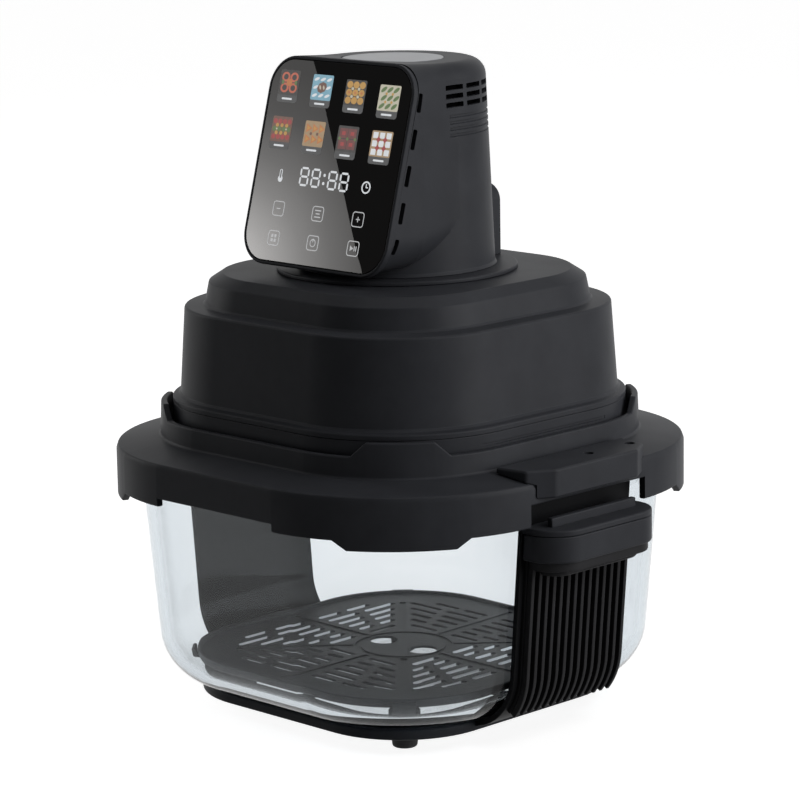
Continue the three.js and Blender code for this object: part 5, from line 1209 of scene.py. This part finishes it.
# Ground of each tile, then layers: colour, sides, columns, rows, steps, shift of odd rows, width, height, turn
tiles = [
    ("night", [("coral", 24, 2, 2, 6.2, 5.6, 0, 6.0, 5.2, 0), ("night", 24, 2, 2, 6.2, 5.6, 0, 3.4, 3.0, 0),
               ("amber", 24, 1, 1, 0, 0, 0, 4.2, 3.8, 0), ("leaf", 12, 2, 1, 9.6, 0, 0, 1.9, 2.6, 0)]),
    ("sky", [("white", 20, 3, 3, 4.6, 4.2, 0, 3.8, 1.5, 20), ("bark", 8, 1, 1, 0, 0, 0, 7.2, 5.6, 22),
             ("cream", 12, 2, 1, 2.6, 0, 0, 1.2, 2.4, 22)]),
    ("night", [("golden", 18, 3, 3, 4.5, 4.0, 0, 4.3, 3.7, 0), ("cream", 18, 2, 2, 4.5, 4.0, 0, 1.9, 1.6, 0),
               ("amber", 18, 3, 1, 4.5, 0, 0, 1.6, 1.4, 0)]),
    ("cream", [("leaf", 14, 3, 3, 4.4, 4.2, 0.7, 4.6, 2.0, 35), ("golden", 12, 2, 2, 4.4, 4.2, 0, 1.5, 1.5, 0)]),
    ("bark", [("red", 12, 4, 2, 3.5, 8.0, 0, 3.1, 2.8, 0), ("leaf", 12, 4, 1, 3.5, 0, 0, 3.1, 2.8, 0),
              ("golden", 12, 3, 2, 3.5, 4.0, 0, 2.3, 2.1, 0), ("cream", 12, 2, 1, 7.0, 0, 0, 1.2, 1.1, 0)]),
    ("sand", [("amber", 3, 3, 2, 4.7, 5.6, 0, 5.4, 5.6, 60), ("golden", 3, 3, 2, 4.7, 5.6, 0, 2.6, 2.8, 60),
              ("bark", 12, 2, 1, 4.7, 0, 0, 1.7, 1.7, 0)]),
    ("night", [("maroon", 4, 2, 2, 6.2, 5.6, 0, 8.2, 7.2, 0), ("red", 4, 2, 2, 6.2, 5.6, 0, 3.6, 2.6, 0),
               ("leaf", 12, 3, 1, 5.6, 0, 0, 1.9, 1.7, 0)]),
    ("sand", [("white", 4, 3, 3, 4.7, 4.3, 0, 4.9, 4.3, 0), ("red", 4, 2, 2, 4.7, 4.3, 0, 3.4, 3.2, 45)]),
]
inks = {}


# The print's rows run a little askew, more so higher up.
def leaned(x, y):
    flat, rise = printed["lean"]
    return x, y - x * (flat + rise * y)


# A thin solid of one colour, on a layer of its own, or a band between two outlines.
def addInk(colour, outline, level=0, inner=None):
    low, high = -printed["sunk"], printed["high"] + printed["layer"] * level
    if inner is None:
        piece = prism("ink", outline, low, high, at=onDisplay)
    else:
        rings = [[(x, y, z) for x, y in plan] for plan, z in
                 ((outline, low), (outline, high), (inner, high), (inner, low))]
        piece = skinPiece("ink", rings, True, onDisplay)
    inks.setdefault(colour, []).append(piece)


def polygonPlan(sides, width, height, x, y, turn=0.0):
    points = []
    lean = math.radians(turn)
    for side in range(sides):
        bend = 4 * quarter * (side + 0.5) / sides
        a, b = width / 2 * math.cos(bend), height / 2 * math.sin(bend)
        points.append((x + a * math.cos(lean) - b * math.sin(lean), y + a * math.sin(lean) + b * math.cos(lean)))
    return points


def discPlan(width, x, y, sides):
    return polygonPlan(sides, width, width, x, y)


def softPlan(width, height, corner, x, y):
    return [(x + a, y + b) for a, b, _ in oblongRing(width / 2, height / 2, corner, 0, steps=5)]


# A pointed stroke between two places
def strokePlan(a, b, stroke):
    along = (Vector(b) - Vector(a)).normalized() * stroke / 2
    side = Vector((-along.y, along.x))
    a, b = Vector(a), Vector(b)
    return [tuple(p) for p in (a, a + along - side, b - along - side, b, b - along + side, a + along + side)]


def addTiles():
    size = printed
    for index, (ground, layers) in enumerate(tiles):
        x, y = leaned(size["tileColumns"][index % 4], size["tileRows"][index // 4])
        addInk("label", softPlan(size["tileWidth"], size["tileHeight"], size["tileCorner"], x, y))
        addInk("white", softPlan(*size["dash"], x, y - size["pictureHeight"] / 2), 2)
        y += (size["tileHeight"] - size["pictureHeight"]) / 2
        addInk(ground, softPlan(size["tileWidth"], size["pictureHeight"], size["pictureCorner"], x, y), 1)
        for level, (colour, sides, columns, rows, stepX, stepY, shift, width, height, turn) in enumerate(layers):
            for row in range(rows):
                for column in range(columns):
                    across = (column - (columns - 1) / 2) * stepX + (shift if row % 2 else 0)
                    upward = (row - (rows - 1) / 2) * stepY
                    addInk(colour, polygonPlan(sides, width, height, x + across, y + upward, turn), level + 2)


def addDigits():
    size = printed
    wide = (size["digitWidth"] - size["stroke"]) / 2
    high = (size["digitHeight"] - size["stroke"]) / 2
    x, y = size["digitPlace"]
    strokes = [((-wide, level * high), (wide, level * high)) for level in (-1, 0, 1)]
    strokes += [((side * wide, level * high), (side * wide, 0)) for side in (-1, 1) for level in (-1, 1)]
    parts = []
    for a, b in strokes:
        gap = (Vector(b) - Vector(a)).normalized() * size["gap"]
        a, b = Vector(a) + gap, Vector(b) - gap
        plan = strokePlan((x + a.x, y + a.y), (x + b.x, y + b.y), size["stroke"])
        parts.append(prism("segment", plan, -size["sunk"], size["high"]))
    fall = leaned(1, y)[1] - y
    digits = joinPieces("digits", parts)
    for pitch in (size["digitPitch"], size["pairPitch"]):
        digits = spreadCopies(digits, 2, (pitch, pitch * fall, 0))
    digits.data.transform(onDisplay)
    inks.setdefault("white", []).append(digits)
    middle = x + (size["pairPitch"] + size["digitPitch"]) / 2
    y += (middle - x) * fall
    for side in (-1, 1):
        addInk("white", discPlan(size["dot"], middle, y + size["dotRise"] * side, sides=16))


# A thermometer and a clock, beside the digits.
def addSigns():
    size = printed
    x, y = size["thermometer"]
    for colour, level, (width, height, corner, rise) in (("white", 0, size["stem"]), ("night", 3, size["bore"])):
        addInk(colour, softPlan(width, height, corner, x, y + rise), level)
    width, rise = size["bulb"]
    addInk("white", discPlan(width, x, y + rise, sides=20), 1)
    x, y = size["clock"]
    width = 2 * size["clockRadius"]
    addInk("white", discPlan(width, x, y, sides=36),
           inner=discPlan(width - 2 * size["clockLine"], x, y, sides=36))
    for level, ((startX, startY), (endX, endY)) in enumerate(size["clockHands"], 1):
        addInk("white", strokePlan((x + startX, y + startY), (x + endX, y + endY), size["handStroke"]), level)


def addKeys():
    size = printed
    places = [leaned(x, y) for y in size["keyRows"] for x in size["keyColumns"]]
    width, height, corner, line = size["keyWidth"], size["keyHeight"], size["keyCorner"], size["keyLine"]
    for (x, y), marks in zip(places, size["marks"]):
        addInk("grey", softPlan(width, height, corner, x, y),
               inner=softPlan(width - 2 * line, height - 2 * line, corner - line, x, y))
        for wide, high, across, upward in marks:
            addInk("grey", softPlan(wide, high, size["markCorner"], x + across, y + upward), 1)
    x, y = places[size["powerKey"]]
    outer, inner = size["powerRing"]
    addInk("grey", discPlan(outer, x, y, sides=28), inner=discPlan(inner, x, y, sides=28))
    x, y = places[size["playKey"]]
    addInk("grey", polygonPlan(3, size["playSize"], size["playSize"], x + size["playShift"], y, 60), 1)


addTiles()
addDigits()
addSigns()
addKeys()
for colour, parts in inks.items():
    shown = joinPieces("display_print_" + colour, parts)
    bright = printed["lit"] if colour in ("white", "grey") else printed["pictureLit"]
    show(shown, "black_glass", "pod", finish=glowFinish("lit " + colour, glows[colour], bright))
print("display made")


# Stage, light and world. The floor is 60 m wide.
stage = {"half": 30, "glow": 0.91, "world": 0.07, "clouds": (3, 2, 0.5), "rough": 0.9, "level": 0.1,
         "ramp": (0.3, 0.7, (0.59, 0.59, 0.59), (0.61, 0.61, 0.61))}


# 1 where a ray comes straight from the camera, off a gloss or through the glass, and 0 where it lights something.
def whiteForEyes(tree):
    path = newNode(tree, "ShaderNodeLightPath").outputs
    either = newNode(tree, "ShaderNodeMath", {0: path["Is Camera Ray"], 1: path["Is Glossy Ray"]}, "MAXIMUM")
    return newNode(tree, "ShaderNodeMath", {0: either.outputs[0], 1: path["Is Transmission Ray"]}, "MAXIMUM").outputs[0]


def addFloor():
    half = stage["half"]
    mesh = bpy.data.meshes.new("floor")
    mesh.from_pydata([(x * half, y * half, 0) for x, y in ((-1, -1), (1, -1), (1, 1), (-1, 1))], [], [(0, 1, 2, 3)])
    floor = newObject("floor", mesh)
    finish, tree, shader = newFinish("pale floor")
    cloud = noiseOf(tree, *stage["clouds"])
    feed(shader, {"Base Color": rampOf(tree, cloud, *stage["ramp"]), "Roughness": stage["rough"],
                  "Specular IOR Level": stage["level"]})
    share = newNode(tree, "ShaderNodeMath", {0: whiteForEyes(tree), 1: stage["glow"]}, "MULTIPLY")
    glow = newNode(tree, "ShaderNodeEmission", {"Strength": share.outputs[0]})
    both = newNode(tree, "ShaderNodeAddShader", {0: shader.outputs[0], 1: glow.outputs[0]})
    feed(tree.nodes["Material Output"], {"Surface": both.outputs[0]})
    mesh.materials.append(finish)
    return floor


def addWorld():
    world = bpy.data.worlds.new("studio")
    bpy.context.scene.world = world
    world.use_nodes = True
    tree = world.node_tree
    dim = tree.nodes["Background"]
    feed(dim, {"Color": (1, 1, 1, 1), "Strength": stage["world"]})
    bright = newNode(tree, "ShaderNodeBackground", {"Color": (1, 1, 1, 1), "Strength": 1.0})
    mix = newNode(tree, "ShaderNodeMixShader", {0: whiteForEyes(tree), 1: dim.outputs[0], 2: bright.outputs[0]})
    feed(tree.nodes["World Output"], {"Surface": mix.outputs[0]})


# What the right lamp doesn't light, so that no white streak hides what is behind the glass.
spared = bpy.data.collections.new("not lit by the right lamp")
for member in (bowlWall, addFloor()):
    spared.objects.link(member)
for member in spared.collection_objects:
    member.light_linking.link_state = "EXCLUDE"
addWorld()

# Azimuth from the front towards the right, elevation, distance, width and height in metres, and watts
lamps = {
    "right lamp": (114, 14, 1.5, (1.1, 1.5), 44),
    "front lamp": (80, 46, 2.0, (0.8, 0.8), 6),
    "left lamp": (-72, 14, 1.9, (0.7, 1.0), 8),
    "top lamp": (180, 80, 1.9, (1.2, 1.2), 9),
}
lampTarget = (0, 0, 0.18)


def addLamp(name, azimuth, rise, distance, size, power):
    lamp = bpy.data.lights.new(name, "AREA")
    lamp.shape = "RECTANGLE"
    lamp.size, lamp.size_y = size
    lamp.energy = power
    made = newObject(name, lamp)
    made.visible_camera = False
    away = directionTo(azimuth, rise)
    spot = Vector(lampTarget) + away * distance
    made.matrix_world = Matrix.Translation(spot) @ away.to_track_quat("Z", "Y").to_matrix().to_4x4()
    if name == "right lamp":
        made.light_linking.receiver_collection = spared


for lampName, values in lamps.items():
    addLamp(lampName, *values)

# A softbox that is mirrored in the left of the display glass, cut off along a slanting edge, and lights only that
reflector = {"edge": ((-21.6, 51.9), (38.8, -54.4)), "beyond": 0.6, "width": 170, "distance": 1.0,
             "brightest": (-56, -60), "reach": 0.17, "strength": 190, "warmth": (1, 0.98, 0.965),
             "fall": ((0.0, 0.5), (0.18, 0.40), (0.40, 0.235), (0.56, 0.155), (0.77, 0.085), (1.0, 0.062))}


# The glow falls off with the distance from its brightest place.
def reflectorFinish(brightest):
    size = reflector
    finish, tree, shader = newFinish("softbox glow")
    apart = newNode(tree, "ShaderNodeVectorMath", {0: objectCoords(tree), 1: brightest}, "DISTANCE")
    share = newNode(tree, "ShaderNodeMath", {0: apart.outputs["Value"], 1: size["reach"]}, "DIVIDE")
    ramp = newNode(tree, "ShaderNodeValToRGB", {0: share.outputs[0]})
    stops = ramp.color_ramp.elements
    while len(stops) < len(size["fall"]):
        stops.new(0.5)
    for stop, (position, value) in zip(stops, size["fall"]):
        stop.position = position
        stop.color = (*(value * tone for tone in size["warmth"]), 1)
    glow = newNode(tree, "ShaderNodeEmission", {"Color": ramp.outputs["Color"], "Strength": size["strength"]})
    clear = newNode(tree, "ShaderNodeBsdfTransparent")
    both = newNode(tree, "ShaderNodeAddShader", {0: glow.outputs[0], 1: clear.outputs[0]})
    feed(tree.nodes["Material Output"], {"Surface": both.outputs[0]})
    return finish


def addReflector(glass):
    size = reflector
    eye = bpy.context.scene.camera.matrix_world.translation
    facing = onDisplay.to_3x3() @ Vector((0, 0, 1))

    def mirrored(x, y):
        spot = onDisplay @ (Vector((x, y, 0)) * mm)
        sight = (spot - eye).normalized()
        return spot + (sight - 2 * sight.dot(facing) * facing) * size["distance"]

    first, last = (Vector(place) for place in size["edge"])
    along = last - first
    first, last = first - along * size["beyond"], last + along * size["beyond"]
    away = Vector((along.y, -along.x)).normalized() * size["width"]
    mesh = bpy.data.meshes.new("softbox")
    mesh.from_pydata([mirrored(*corner) for corner in (first, last, last + away, first + away)], [], [(0, 1, 2, 3)])
    mesh.materials.append(reflectorFinish(mirrored(*size["brightest"])))
    panel = newObject("softbox", mesh)
    panel.visible_camera = False
    panel.visible_diffuse = False
    panel.visible_shadow = False
    panel.visible_transmission = False
    lit = bpy.data.collections.new("display glass only")
    lit.objects.link(glass)
    panel.light_linking.receiver_collection = lit


addReflector(displayFront)
bpy.context.scene.view_settings.view_transform = "Standard"
print("stage and lamps placed")
